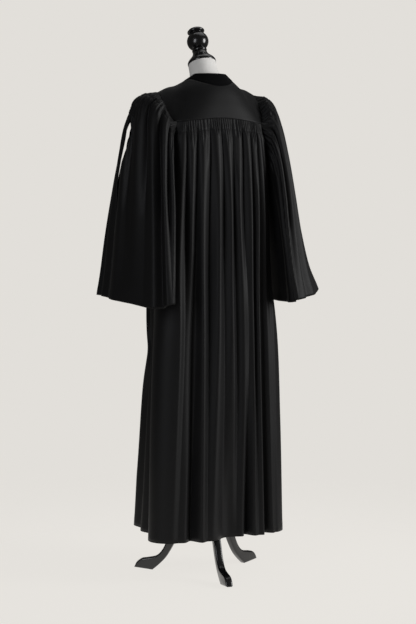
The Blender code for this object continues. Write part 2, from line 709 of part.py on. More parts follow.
def moved_out(rows, distance):
    """Rows of points, moved away from the pole's axis along their own normals."""
    grid = np.array(rows)
    normals = np.cross(np.gradient(grid, axis=1), np.gradient(grid, axis=0))
    normals /= np.linalg.norm(normals, axis=2)[:, :, None]
    away = grid * [1.0, 1.0, 0.0] + [0.0, 0.0, UPWARD]
    outward = np.sign((normals * away).sum(axis=2))[:, :, None]
    return list(grid + normals * outward * np.reshape(distance, (-1, 1, 1)))


def band_end(degrees):
    """The neckband is widest at the centre back and the centre front, and narrow over the shoulders."""
    beside = 90.0 - np.abs(90.0 - np.abs(degrees))
    return BAND_END * (1.0 - BAND_NARROWING * smooth(beside / BAND_NARROW_ANGLE))


def band_rows(angles):
    """Rows of points of the neckband."""
    ends = band_end(angles) - SEAM / 2.0
    return [upper_points(angles, share * ends) for share in np.linspace(0.0, 1.0, BAND_ROWS)]


def yoke_rows(angles):
    """Rows of points of the yoke, from the neckband to the gathered seam."""
    starts = band_end(angles) + SEAM / 2.0
    return [upper_points(angles, starts + share * (YOKE_END - starts)) for share in YOKE_SHARES]


def neck_angles():
    """Columns round the neck, open by a seam's gap at the centre front, with one at each placket edge."""
    open_angle = 180.0 - math.degrees(SEAM / UPPER["front"][1])
    beside = 180.0 - PLACKET_ANGLE
    return np.concatenate([[-open_angle], np.linspace(-beside, beside, NECK_COLUMNS), [open_angle]])


def make_yoke(cloth, velvet, collection):
    cloth_wall("neckband", band_rows(neck_angles()), velvet, collection, BAND_CLOTH)
    cloth_wall("yoke", yoke_rows(neck_angles()), cloth, collection)


def make_body_panels(cloth, collection):
    rows = body_panel(BACK_FOLDS, BACK_LEVELS, True, 1, BACK_DEPTHS)
    cloth_wall("back_panel", rows, cloth, collection)
    for name, side in (("front_left", 1), ("front_right", -1)):
        rows = body_panel(FRONT_FOLDS, FRONT_LEVELS, False, side, FRONT_DEPTHS)
        cloth_wall(name, rows, cloth, collection)


def make_sleeves(cloth, collection):
    """Each sleeve is cut in two, sewn under the arm and down its outer front, with an arm slit there."""
    slit_rows = [row for row, run in enumerate(SLEEVE_RUNS[:-1]) if SLIT_START <= run < SLIT_END]
    for arm, side in (("left", 1), ("right", -1)):
        outer_name = f"{arm}_x"
        columns = [back_columns(run) for run in SLEEVE_RUNS]
        rows = sleeve_rows(side, SLEEVE_RUNS, columns, outer_name)
        cloth_wall(f"sleeve_{arm}_back", rows, cloth, collection)
        columns = [front_columns(run) for run in SLEEVE_RUNS]
        rows = sleeve_rows(side, SLEEVE_RUNS, columns, outer_name)
        holes = {(row, FAR_SLIT[1]) for row in slit_rows}
        cloth_wall(f"sleeve_{arm}_front", rows, cloth, collection, holes=holes)


def make_placket(cloth, collection):
    """A plain strip over the centre front, made from the yoke's and the fronts' own points moved out."""
    rows = [row[[1, 0, -1, -2]] for row in yoke_rows(neck_angles())]
    for left in body_panel(FRONT_FOLDS, FRONT_LEVELS, False, 1, FRONT_DEPTHS)[1:]:
        rows.append(np.concatenate([left[[1, 0]] * [-1.0, 1.0, 1.0], left[:2]]))
    cloth_wall("front_placket", moved_out(rows, CLOTH + PLACKET_GAP), cloth, collection)


def neck_ring(row, angles):
    """A ring of the form's leaning neck."""
    angle = np.radians(angles)
    lean = math.radians(row["lean"])
    depth = row["radius"] * np.cos(angle)
    y = row["centre_y"] + depth * math.cos(lean)
    return np.stack([row["radius"] * np.sin(angle), y, row["centre_z"] + depth * math.sin(lean)], axis=-1)


def form_ring(row, angles):
    """A ring of the form below the yoke."""
    angle = np.radians(angles)
    radius = loop_radius(angle, row)
    return np.stack([radius * np.sin(angle), radius * np.cos(angle), loop_height(angle, row)], axis=-1)


def rows_of(rows):
    """The rows of a table, each with its named values."""
    count = len(next(iter(rows.values())))
    return [{name: rows[name][i] for name in rows} for i in range(count)]


def make_form(jersey, collection):
    """The limbless torso: its shoulders are the robe's own upper surface, moved in."""
    angles = neck_angles()
    shoulders = band_rows(angles)[2:] + yoke_rows(angles)
    inset = np.full(len(shoulders), CLOTH / 2.0 + REST_GAP)
    inset[:BAND_ROWS - 1] = BAND_CLOTH / 2.0 + REST_GAP
    rings = [neck_ring(row, angles) for row in rows_of(NECK)]
    rings += moved_out(shoulders, -inset)
    rings += [form_ring(row, angles) for row in rows_of(FORM)]
    solid_of_rings("form_torso", rings, jersey, collection)


def make_finial(lacquer, collection):
    """The neck's cap and the turned finial, on the neck's leaning axis."""
    lean = Matrix.Translation(NECK_TOP) @ Matrix.Rotation(NECK_LEAN, 4, "X")
    ball = []
    for angle in np.radians(np.linspace(FINIAL_BALL_LOW, FINIAL_BALL_HIGH, FINIAL_BALL_POINTS)):
        height = FINIAL_BALL_CENTRE + FINIAL_BALL_RADIUS * FINIAL_BALL_TALL * math.sin(angle)
        ball.append((height, FINIAL_BALL_RADIUS * math.cos(angle)))
    cap = turned("neck_cap", CAP_PROFILE, lacquer, collection)
    finial = turned("finial", FINIAL_BEAD + ball + FINIAL_DOME, lacquer, collection)
    cap.matrix_world = lean
    finial.matrix_world = lean


def make_stand(lacquer, steel, collection):
    """The pole under the torso, the hub and three legs."""
    pole_foot = HUB_TOP + SEAM
    pole_head = FORM_BOTTOM - SEAM
    flange_low = pole_head - FLANGE_THICKNESS
    profile = [
        (pole_foot, POLE_RADIUS),
        (flange_low - POLE_COLLAR_HEIGHT, POLE_RADIUS),
        (flange_low - POLE_FLARE_HEIGHT, POLE_RADIUS + POLE_FLARE),
        (flange_low, FLANGE_RADIUS),
        (pole_head, FLANGE_RADIUS),
    ]
    turned("pole", profile, steel, collection)
    turned("hub", HUB_PROFILE, lacquer, collection)
    for number in range(LEG_COUNT):
        angle = math.radians(FIRST_LEG_ANGLE + number * 360.0 / LEG_COUNT)
        leg = make_leg(f"leg_{number + 1}", lacquer, collection)
        leg.matrix_world = Matrix.Rotation(angle, 4, "Z") @ Matrix.Rotation(math.pi / 2.0, 4, "X")


def make_leg(name, material, collection):
    """One sawn leg: a flat outline, extruded to its thickness, with its edges eased."""
    upper = np.array(LEG_UPPER)
    places = np.arange(len(upper))
    at = np.linspace(0.0, len(upper) - 1.0, LEG_CURVE_POINTS)
    outline = list(zip(along(places, upper[:, 0], at), along(places, upper[:, 1], at))) + LEG_LOWER
    seat = (HUB_RADIUS + LEG_GAP) / math.cos(math.pi / TURNING_STEPS)
    curve = bpy.data.curves.new(name + "_outline", "CURVE")
    curve.dimensions = "2D"
    curve.fill_mode = "BOTH"
    curve.extrude = LEG_THICKNESS / 2.0
    spline = curve.splines.new("POLY")
    spline.points.add(len(outline) - 1)
    for point, (distance, height) in zip(spline.points, outline):
        point.co = (max(distance, seat), height, 0.0, 1.0)
    spline.use_cyclic_u = True
    guide = bpy.data.objects.new(name + "_guide", curve)
    collection.objects.link(guide)
    bpy.context.view_layer.update()
    evaluated = guide.evaluated_get(bpy.context.evaluated_depsgraph_get())
    mesh = bpy.data.meshes.new_from_object(evaluated)
    bpy.data.objects.remove(guide)
    shape = bmesh.new()
    shape.from_mesh(mesh)
    bmesh.ops.remove_doubles(shape, verts=shape.verts, dist=MERGE)
    bmesh.ops.recalc_face_normals(shape, faces=shape.faces)
    shape.to_mesh(mesh)
    shape.free()
    mesh.name = name
    mesh.materials.clear()
    return add_object(mesh, name, material, collection)


def make_material(name):
    colour, roughness, metallic = MATERIALS[name]
    material = bpy.data.materials.new(name)
    material.use_nodes = True
    surface = material.node_tree.nodes["Principled BSDF"]
    surface.inputs["Base Color"].default_value = (*colour, 1.0)
    surface.inputs["Roughness"].default_value = roughness
    surface.inputs["Metallic"].default_value = metallic
    material.diffuse_color = (*colour, 1.0)
    return material


def centre_on_floor(collection):
    """Moves every piece so that the origin is under the middle of the whole object."""
    bpy.context.view_layer.update()
    graph = bpy.context.evaluated_depsgraph_get()
    points = []
    for piece in collection.objects:
        evaluated = piece.evaluated_get(graph)
        mesh = evaluated.to_mesh()
        points += [evaluated.matrix_world @ vertex.co for vertex in mesh.vertices]
        evaluated.to_mesh_clear()
    low = Vector([min(p[i] for p in points) for i in range(3)])
    high = Vector([max(p[i] for p in points) for i in range(3)])
    shift = Vector((-(low.x + high.x) / 2.0, -(low.y + high.y) / 2.0, -low.z))
    for piece in collection.objects:
        piece.matrix_world = Matrix.Translation(shift) @ piece.matrix_world


def main():
    for piece in list(bpy.data.objects):
        bpy.data.objects.remove(piece)
    collection = bpy.data.collections.new("clergy_robe_on_dress_form")
    bpy.context.scene.collection.children.link(collection)
    cloth = make_material("black_robe_cloth")
    velvet = make_material("black_velvet")
    jersey = make_material("white_form_jersey")
    lacquer = make_material("black_lacquered_wood")
    steel = make_material("black_steel_tube")
    make_yoke(cloth, velvet, collection)
    make_body_panels(cloth, collection)
    make_sleeves(cloth, collection)
    make_placket(cloth, collection)
    make_form(jersey, collection)
    make_finial(lacquer, collection)
    make_stand(lacquer, steel, collection)
    centre_on_floor(collection)


main()
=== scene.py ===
"""A black clergy robe on a limbless dress form with a turned tripod stand, dressed for a picture.

Metres, +Z up. The robe faces -Y, so the wearer's left is +X and the back is +Y.
Angles round the body start at the centre back (0), pass the wearer's left (90) and end at the
centre front (180). Angles round an arm start at its outer side (0) and pass its back (90).
Shapes are worked out about the stand's pole and then moved to where the frame has it.
"""

import math
import bmesh
import bpy
import numpy as np
from bpy.props import FloatProperty, FloatVectorProperty, IntProperty, PointerProperty
from mathutils import Matrix, Vector


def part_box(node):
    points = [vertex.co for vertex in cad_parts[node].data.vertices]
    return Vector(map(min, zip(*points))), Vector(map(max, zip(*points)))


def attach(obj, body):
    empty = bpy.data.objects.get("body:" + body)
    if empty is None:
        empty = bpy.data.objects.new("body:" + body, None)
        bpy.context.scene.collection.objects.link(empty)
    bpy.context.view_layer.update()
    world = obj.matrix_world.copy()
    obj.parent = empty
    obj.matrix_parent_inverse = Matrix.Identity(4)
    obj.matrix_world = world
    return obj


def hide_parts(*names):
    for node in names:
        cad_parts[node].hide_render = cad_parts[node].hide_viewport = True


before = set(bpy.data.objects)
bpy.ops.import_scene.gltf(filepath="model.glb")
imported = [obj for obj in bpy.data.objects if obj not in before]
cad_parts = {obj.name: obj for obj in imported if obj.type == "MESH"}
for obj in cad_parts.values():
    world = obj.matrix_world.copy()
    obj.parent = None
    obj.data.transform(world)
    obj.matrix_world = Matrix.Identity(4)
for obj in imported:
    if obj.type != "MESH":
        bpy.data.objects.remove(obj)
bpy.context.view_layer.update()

bl_info = {
    "name": "Clergy robe on a dress form",
    "version": (1, 0, 0),
    "blender": (4, 5, 0),
    "location": "View3D > Sidebar > Robe",
    "description": "Makes a gathered black robe, its dress form and stand, and a plain studio",
    "category": "Object",
}

POLE_LOW, POLE_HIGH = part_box("pole")
POLE = Vector(((POLE_LOW[0] + POLE_HIGH[0]) / 2.0, (POLE_LOW[1] + POLE_HIGH[1]) / 2.0, 0.0))

# Cut of the robe
SEAM = 0.0001
HEM_Z = 0.130
FRONT_HEM_RISE = 0.012
UNDERARM_Z = 1.200
SIDE_ANGLE = 90.0
BACK_CORNER = 59.5
FRONT_CORNER = 122.0
BAND_END = 0.040
BAND_NARROWING = 0.60
BAND_NARROW_ANGLE = 78.0
YOKE_END = 0.140
SLEEVE_END = 0.680
PLACKET_ANGLE = 12.0
PLACKET_RISE = 0.0024


def table(columns, rows):
    """A short table as named columns."""
    names = columns.split()
    return {name: np.array([row[i] for row in rows], float) for i, name in enumerate(names)}


# The smooth upper surface: loops from the neckline down to the yoke seam.
# down is the distance from the neckline along the centre back.
UPPER = table(
    "down   z_back z_side z_front corner_drop half_width back  front square",
    [
        (0.000, 1.531, 1.522, 1.475, 0.000, 0.057, 0.062, 0.068, 2.0),
        (0.020, 1.512, 1.509, 1.459, 0.000, 0.078, 0.073, 0.084, 2.1),
        (0.040, 1.493, 1.498, 1.441, 0.000, 0.099, 0.084, 0.097, 2.2),
        (0.090, 1.445, 1.488, 1.402, 0.006, 0.134, 0.099, 0.105, 2.7),
        (0.140, 1.396, 1.473, 1.362, 0.013, 0.166, 0.108, 0.108, 3.4),
    ],
)

# The smooth lower surface, by height. Its tapers widen the back and narrow the front.
LOWER = table(
    "z      half_width back   front  square front_square taper front_taper",
    [
        (0.130, 0.210, 0.132, 0.196, 3.0, 4.2, 1.4, 1.02),
        (0.480, 0.200, 0.129, 0.172, 3.0, 3.8, 1.5, 1.35),
        (0.780, 0.184, 0.126, 0.150, 3.0, 3.2, 1.6, 1.60),
        (0.900, 0.178, 0.124, 0.142, 3.1, 3.4, 0.8, 0.80),
        (1.150, 0.172, 0.124, 0.122, 3.2, 3.2, 0.4, 0.40),
        (1.270, 0.169, 0.122, 0.113, 3.4, 3.4, 0.1, 0.10),
        (1.340, 0.167, 0.117, 0.109, 3.4, 3.4, 0.0, 0.00),
        (1.400, 0.166, 0.108, 0.108, 3.4, 3.4, 0.0, 0.00),
    ],
)

# Wide hollows of the skirt, by angle from the centre back, deepest at the hem: beside the side
# seams and behind the stand's rear leg.
HOLLOWS = table(
    "angle  half_angle top_z depth",
    [
        (-99.0, 13.0, 1.050, 0.040),
        (-4.0, 15.0, 0.640, 0.018),
        (99.0, 13.0, 1.050, 0.040),
    ],
)

# Flutes of the back panel. Each row is one ridge: its distance from the centre back
# towards the wearer's left at four heights, how far it stands out at them, and how far the valley
# after it lies in. Where that is below 0, the ridge has merged with the next.
BACK_LEVELS = (1.365, 1.150, 0.850, 0.130)
BACK_FOLDS = table(
    "at_yoke at_blade at_waist at_hem  out_yoke out_blade out_waist out_hem "
    "in_yoke in_blade in_waist in_hem",
    [
        (-0.137, -0.158, -0.170, -0.188, 0.005, 0.009, 0.012, 0.012, 0.005, 0.008, -0.006, -0.008),
        (-0.123, -0.138, -0.148, -0.166, 0.006, 0.009, 0.008, 0.010, 0.005, 0.008, 0.008, 0.020),
        (-0.104, -0.111, -0.112, -0.125, 0.006, 0.010, 0.010, 0.012, 0.006, 0.009, 0.006, -0.006),
        (-0.075, -0.083, -0.088, -0.098, 0.007, 0.012, 0.012, 0.008, 0.006, 0.007, -0.006, 0.028),
        (-0.048, -0.044, -0.060, -0.058, 0.006, 0.009, 0.006, 0.002, 0.005, 0.008, 0.008, 0.000),
        (-0.007, -0.014, -0.019, -0.030, 0.006, 0.011, 0.010, 0.000, 0.006, 0.009, 0.004, -0.002),
        (0.027, 0.026, 0.026, 0.055, 0.007, 0.013, 0.011, 0.016, 0.006, 0.011, 0.011, -0.012),
        (0.071, 0.079, 0.080, 0.092, 0.006, 0.012, 0.014, 0.022, 0.005, 0.009, 0.004, 0.016),
        (0.106, 0.111, 0.114, 0.145, 0.005, 0.008, -0.002, 0.008, 0.005, 0.007, 0.004, -0.006),
        (0.132, 0.140, 0.150, 0.182, 0.005, 0.008, 0.012, 0.012, 0.005, 0.007, 0.008, 0.010),
    ],
)

# Flutes of one front panel, by distance from the centre front.
FRONT_LEVELS = (1.345, 1.150, 0.850, 0.130)
FRONT_FOLDS = table(
    "at_yoke at_blade at_waist at_hem  out_yoke out_blade out_waist out_hem "
    "in_yoke in_blade in_waist in_hem",
    [
        (0.052, 0.054, 0.056, 0.062, 0.004, 0.008, 0.010, 0.013, 0.004, 0.007, 0.008, 0.010),
        (0.086, 0.090, 0.094, 0.104, 0.005, 0.009, 0.009, 0.012, 0.004, 0.008, 0.004, 0.002),
        (0.118, 0.124, 0.132, 0.148, 0.005, 0.009, 0.012, 0.016, 0.004, 0.007, 0.008, 0.010),
        (0.144, 0.152, 0.162, 0.176, 0.004, 0.006, 0.007, 0.008, 0.004, 0.006, 0.006, 0.006),
    ],
)

# Lesser creases of the back between the flutes: soft ridges (out above 0) and troughs, each by
# its distance from the centre back at its upper and lower end, those ends' heights, its half width.
BACK_CREASES = table(
    "top_x  low_x   top_z  low_z  half_width out",
    [
        (0.052, 0.060, 1.375, 1.240, 0.0060, 0.0030),
        (0.008, 0.012, 1.370, 1.130, 0.0055, 0.0026),
        (-0.026, -0.033, 1.372, 1.215, 0.0060, 0.0030),
        (-0.090, -0.098, 1.370, 1.200, 0.0050, 0.0028),
        (-0.113, -0.108, 1.368, 1.180, 0.0050, -0.0022),
        (0.090, 0.098, 1.372, 1.190, 0.0050, -0.0024),
        (-0.061, -0.066, 1.372, 1.230, 0.0050, -0.0026),
        (0.046, 0.052, 1.100, 0.700, 0.0120, -0.0016),
        (-0.034, -0.046, 0.960, 0.420, 0.0130, -0.0016),
        (0.101, 0.096, 0.980, 0.540, 0.0120, -0.0014),
        (0.128, 0.142, 0.820, 0.300, 0.0140, 0.0014),
        (-0.128, -0.148, 0.900, 0.380, 0.0120, -0.0014),
        (0.058, 0.050, 0.560, 0.140, 0.0150, 0.0014),
        (-0.088, -0.096, 0.620, 0.200, 0.0140, 0.0014),
        (0.100, 0.120, 1.000, 0.150, 0.0120, -0.0090),
        (0.050, 0.072, 1.000, 0.150, 0.0070, -0.0016),
        (-0.004, 0.010, 0.950, 0.150, 0.0080, -0.0030),
        (-0.042, -0.040, 0.900, 0.150, 0.0070, -0.0024),
    ],
)
# The last crease of a front is the hollow beside its side seam.
FRONT_CREASES = table(
    "top_x  low_x   top_z  low_z  half_width out",
    [
        (0.066, 0.070, 1.340, 1.170, 0.0050, 0.0022),
        (0.100, 0.108, 1.338, 1.120, 0.0055, 0.0024),
        (0.134, 0.140, 1.330, 1.160, 0.0050, -0.0020),
        (0.072, 0.078, 0.960, 0.520, 0.0110, -0.0028),
        (0.112, 0.124, 0.820, 0.260, 0.0120, 0.0030),
        (0.144, 0.156, 0.700, 0.300, 0.0110, -0.0024),
        (0.180, 0.226, 0.900, -0.300, 0.0150, -0.0160),
    ],
)

BACK_SHAPE = (BACK_FOLDS, BACK_LEVELS, BACK_CREASES)
FRONT_SHAPE = (FRONT_FOLDS, FRONT_LEVELS, FRONT_CREASES)

# Sleeve rings. Each row gives where the ring lies at the outer side (the left arm and the right),
# the inner side, the back and the front of the arm; the armhole itself comes before the first.
SLEEVE_RINGS = table(
    "run   left_x right_x outer_z inner_x inner_z back_x back_y front_x front_y",
    [
        (0.035, 0.198, 0.192, 1.468, 0.184, 1.182, 0.170, 0.106, 0.174, -0.108),
        (0.075, 0.230, 0.220, 1.449, 0.190, 1.152, 0.176, 0.117, 0.190, -0.116),
        (0.130, 0.251, 0.241, 1.403, 0.196, 1.110, 0.182, 0.129, 0.208, -0.125),
        (0.215, 0.263, 0.265, 1.320, 0.202, 1.058, 0.188, 0.141, 0.228, -0.130),
        (0.335, 0.277, 0.295, 1.200, 0.209, 0.996, 0.194, 0.154, 0.246, -0.134),
        (0.465, 0.291, 0.326, 1.070, 0.215, 0.940, 0.200, 0.167, 0.260, -0.138),
        (0.585, 0.303, 0.362, 0.950, 0.220, 0.888, 0.206, 0.179, 0.270, -0.141),
        (0.680, 0.313, 0.400, 0.868, 0.224, 0.846, 0.211, 0.190, 0.278, -0.144),
        (0.730, 0.319, 0.418, 0.824, 0.226, 0.806, 0.213, 0.194, 0.281, -0.146),
    ],
)

# The cuff's hem droops behind the outer side: how much longer the sleeve is, by angle round the arm.
CUFF_HEM = table(
    "angle  left   right",
    [
        (-180.0, 0.000, 0.004),
        (-60.0, 0.000, 0.000),
        (-20.0, 0.008, -0.004),
        (20.0, 0.022, -0.002),
        (55.0, 0.032, 0.004),
        (85.0, 0.012, 0.008),
        (130.0, 0.000, 0.012),
        (180.0, 0.000, 0.004),
    ],
)
HEM_SHAPE_START = 0.300
YOKE_SHARE_ANGLE = 70.0

# Flutes of a sleeve, by angle round the arm.
SLEEVE_LEVELS = (0.060, 0.250, 0.450, 0.680)
SLEEVE_FOLDS = table(
    "at_head at_arm at_elbow at_cuff  out_head out_arm out_elbow out_cuff  in_head in_arm in_elbow in_cuff",
    [
        (-148.0, -150.0, -152.0, -152.0, 0.001, 0.003, 0.004, 0.004, 0.002, 0.004, 0.004, 0.004),
        (-112.0, -112.0, -112.0, -112.0, 0.003, 0.007, 0.008, 0.009, 0.003, 0.006, 0.007, 0.008),
        (-84.0, -84.0, -84.0, -84.0, 0.004, 0.008, 0.009, 0.010, 0.003, 0.004, 0.006, 0.008),
        (-58.0, -60.0, -62.0, -62.0, 0.004, 0.004, 0.008, 0.012, 0.003, 0.003, 0.005, 0.007),
        (-34.0, -34.0, -34.0, -34.0, 0.004, 0.003, 0.005, 0.004, 0.004, 0.004, 0.005, 0.006),
        (-12.0, -8.0, -6.0, -4.0, 0.005, 0.006, 0.005, 0.004, 0.004, 0.004, 0.000, -0.003),
        (12.0, 16.0, 20.0, 22.0, 0.006, 0.006, 0.003, 0.002, 0.004, 0.004, 0.001, -0.002),
        (36.0, 42.0, 48.0, 52.0, 0.006, 0.008, 0.008, 0.008, 0.005, 0.008, 0.010, 0.010),
        (60.0, 64.0, 70.0, 76.0, 0.006, 0.008, 0.006, 0.006, 0.005, 0.007, 0.002, -0.004),
        (84.0, 88.0, 94.0, 102.0, 0.005, 0.010, 0.010, 0.009, 0.004, 0.008, 0.006, 0.004),
        (112.0, 116.0, 120.0, 128.0, 0.003, 0.006, 0.006, 0.007, 0.002, 0.004, 0.004, 0.004),
        (148.0, 150.0, 152.0, 160.0, 0.001, 0.002, 0.002, 0.002, 0.001, 0.002, 0.002, 0.002),
    ],
)

# Lesser creases of a sleeve, by angle round the arm and distance down it.
SLEEVE_CREASES = table(
    "top_angle low_angle top_run low_run half_angle out",
    [
        (-22.0, -20.0, 0.020, 0.400, 4.0, -0.0060),
        (2.0, 4.0, 0.020, 0.420, 4.0, -0.0070),
        (26.0, 32.0, 0.020, 0.420, 4.0, -0.0070),
        (50.0, 58.0, 0.020, 0.400, 4.0, -0.0060),
        (72.0, 80.0, 0.024, 0.400, 4.0, -0.0060),
        (96.0, 104.0, 0.030, 0.360, 4.0, -0.0034),
        (8.0, 12.0, 0.330, 0.640, 7.0, -0.0012),
        (60.0, 64.0, 0.360, 0.660, 7.0, 0.0014),
        (88.0, 92.0, 0.300, 0.560, 6.0, -0.0012),
        (-46.0, -48.0, 0.300, 0.620, 6.0, -0.0012),
        (-72.0, -72.0, 0.340, 0.640, 6.0, 0.0012),
    ],
)

# The arm slits, by distance along the sleeve. The near one is the outer front seam left open, so
# that the sleeve's back half gapes away from its front half. The far one is cut in the front half,
# and light shows through both. Each edge's place is in phases of the flutes.
SLITS = table(
    "run   near_front near_back far_inner far_outer",
    [
        (0.050, 5.00, 5.00, 3.60, 3.60),
        (0.060, 5.00, 5.00, 3.60, 3.70),
        (0.095, 5.00, 5.00, 3.15, 3.75),
        (0.135, 4.95, 5.82, 2.98, 3.45),
        (0.185, 4.93, 5.93, 2.92, 3.25),
        (0.250, 4.84, 5.65, 3.03, 3.20),
        (0.320, 4.78, 5.02, 3.07, 3.12),
        (0.340, 4.83, 5.01, 3.10, 3.10),
        (0.430, 5.00, 5.00, 3.10, 3.10),
    ],
)
SLIT_SEAM = 5
SLIT_START = 0.050
SLIT_END = 0.340
FAR_SPREAD = (2, 4)
NEAR_SPREAD = 7
YOKE_Z = 1.37
PANEL_LENGTH = YOKE_Z - HEM_Z
NORMAL_STEP = 0.5
SLEEVE_STEP = 0.004
FLUTE_START = 0.055
LOW_SOFTNESS = 0.85
BODY_SOFT_LENGTH = 0.50
SLEEVE_SOFT_LENGTH = 0.35
SIDE_FLAT = 7.0
CENTRE_FLAT = 9.0

# The fine tucks under a gathered seam, held by a second row of stitches below it.
BODY_GATHER_LENGTH = 0.062
SLEEVE_GATHER_LENGTH = 0.105
SLEEVE_TUCK_SHARE = 1.9
TUCKS_PER_FOLD = 3.6
FRONT_TUCK_SHARE = 0.36
HEM_STEP = 0.0004
HEM_STEP_WIDTH = 0.002
TUCK_START = 0.003
TUCK_FADE = 0.026
TUCK_STRENGTH = 0.80
# How the tucks vary along a seam in place, length and height: each wave's size, speed and start.
TUCK_SHIFTS = ((0.24, 19.0, 1.0), (0.17, 47.0, 0.0))
TUCK_REACHES = ((0.30, 23.0, 2.0), (0.20, 61.0, 0.0))
TUCK_HEIGHTS = ((0.30, 31.0, 0.5),)
TUCK_PINCH = 0.0009
TUCK_PINCH_WIDTH = 0.0035

# Rows of stitches: how far below its seam each lies, and the stitches' own sizes
BODY_GATHER_ROW = 0.031
SLEEVE_GATHER_ROW = 0.029
SLEEVE_TUCKS = (2, 11)
EDGE_ROW = 0.0022
THREAD_RADIUS = 0.00035
THREAD_LIFT = 0.0003
STITCH_TILT = 0.10
HEM_PITCH = 0.012

# How finely the cloth is drawn
COLUMNS_PER_FOLD = 32
SLEEVE_COLUMNS_PER_FOLD = 22
FINE_ROW = 0.0025
COARSE_ROW = 0.0115
FINE_DEPTH = 0.060
NECK_COLUMNS = 241
BAND_ROWS = 9
YOKE_ROWS = 26
PLACKET_COLUMNS = 9

# Points closer than this become one, and faces that meet at a greater angle keep a crisp edge.
CLOTH_MERGE = 0.000002
WOOD_MERGE = 0.00001
EDGE_ANGLE = math.radians(40.0)
TURNED_EDGE_ANGLE = math.radians(35.0)

# The dress form below the yoke, and its neck above it
NECK = table(
    "centre_y centre_z radius lean",
    [
        (-0.0280, 1.566, 0.0425, 22.0),
        (-0.0190, 1.543, 0.0430, 20.0),
        (-0.0080, 1.520, 0.0460, 22.0),
        (0.0000, 1.496, 0.0485, 36.0),
    ],
)
FORM = table(
    "z_back z_side z_front half_width back  front square corner_drop",
    [
        (1.374, 1.453, 1.346, 0.180, 0.100, 0.099, 3.2, 0.006),
        (1.350, 1.430, 1.328, 0.184, 0.096, 0.096, 3.0, 0.0),
        (1.318, 1.388, 1.298, 0.174, 0.092, 0.094, 2.8, 0.0),
        (1.265, 1.320, 1.255, 0.158, 0.088, 0.092, 2.6, 0.0),
        (1.190, 1.210, 1.185, 0.142, 0.084, 0.090, 2.4, 0.0),
        (1.080, 1.080, 1.080, 0.122, 0.074, 0.078, 2.3, 0.0),
        (0.950, 0.950, 0.950, 0.143, 0.086, 0.086, 2.4, 0.0),
        (0.850, 0.850, 0.850, 0.146, 0.086, 0.082, 2.4, 0.0),
        (0.812, 0.812, 0.812, 0.142, 0.082, 0.078, 2.4, 0.0),
        (0.800, 0.800, 0.800, 0.132, 0.072, 0.068, 2.4, 0.0),
    ],
)
FORM_INSET = 0.0022
FORM_CLEARANCE = 0.0006
FORM_COLUMNS = 144
SHOULDER_ROWS = 20
FORM_STEPS = 6
NECK_LEAN = math.radians(22.0)
NECK_TOP = Vector((0.0, -0.028, 1.566))

# Turned profiles: height along the axis, radius
CAP = [
    (0.0004, 0.0425),
    (0.0015, 0.0433),
    (0.0040, 0.0436),
    (0.0070, 0.0431),
    (0.0100, 0.0418),
    (0.0140, 0.0388),
    (0.0180, 0.0350),
    (0.0225, 0.0304),
    (0.0270, 0.0265),
    (0.0310, 0.0240),
    (0.0350, 0.0225),
    (0.0392, 0.0215),
    (0.0400, 0.0206),
    (0.0404, 0.0180),
]
BEAD_CENTRE = 0.0450
BEAD_RADIUS = 0.0046
BEAD_OUT = 0.0182
BALL_CENTRE = 0.0760
BALL_RADIUS = 0.0332
BALL_TALL = 0.93
DOME_NECK = (0.1045, 0.0196)
DOME_RIM_CENTRE = 0.1094
DOME_RIM_OUT = 0.0223
DOME_RIM_RADIUS = 0.0042
# Each arc's first and last angle above its middle, and its points.
BEAD_ARC = (-85.0, 85.0, 13)
BALL_ARC = (-58.0, 53.6, 33)
DOME_RIM_ARC = (-80.0, 40.0, 9)
DOME = [(0.1160, 0.0215), (0.1190, 0.0155), (0.1208, 0.0090), (0.1218, 0.0030)]

HUB_RADIUS = 0.032
LEG_THICKNESS = 0.022
LEG_EDGE = 0.0045
LEG_COUNT = 3
LEG_TENON = 0.004
LEG_TOP = 0.204
LEG_BOTTOM = 0.160
UPPER_EDGE_POINTS = 45
LOWER_EDGE_POINTS = 31
FIRST_LEG_ANGLE = -40.4
LEG_UPPER = [
    (0.062, 0.196),
    (0.090, 0.170),
    (0.113, 0.124),
    (0.131, 0.080),
    (0.146, 0.056),
    (0.163, 0.043),
    (0.188, 0.037),
    (0.208, 0.033),
    (0.222, 0.022),
    (0.230, 0.006),
]
LEG_LOWER = [
    (0.171, 0.0),
    (0.149, 0.019),
    (0.127, 0.043),
    (0.106, 0.078),
    (0.086, 0.118),
    (0.062, 0.150),
]

# Camera, from the photograph's view of the stand and the robe
CAMERA_AZIMUTH = math.radians(152.0)
CAMERA_DISTANCE = 4.9
CAMERA_HEIGHT = 1.155
AIM_HEIGHT = 0.809
LENS = 92.3
SHIFT_X = 0.0026
FLOOR_LIT = 0.10
FLOOR_RADIUS = 2.6
FLOOR_DROP = 0.0004
FADE_START = 0.45
FADE_END = 1.9
GLOW = 0.12
LIGHT_AIM = 0.95

# The soft lights: how far right of and towards the camera each stands, its height, its panel's
# size and its power.
LIGHTS = {
    "key": {"right": 3.3, "towards": 0.8, "height": 1.7, "width": 1.4, "tall": 2.0, "power": 98.0},
    "fill": {"right": -1.7, "towards": 3.0, "height": 1.6, "width": 1.2, "tall": 2.2, "power": 34.0},
    "top": {"right": 0.3, "towards": -0.6, "height": 3.2, "width": 2.0, "tall": 1.6, "power": 9.0},
}
LIGHT_COLOURS = {"key": "#ffffff", "fill": "#f8faff", "top": "#ffffff"}


def linear(code):
    """An sRGB hex colour as linear red, green and blue."""
    parts = [int(code[i : i + 2], 16) / 255.0 for i in (1, 3, 5)]
    return [p / 12.92 if p <= 0.04045 else ((p + 0.055) / 1.055) ** 2.4 for p in parts]


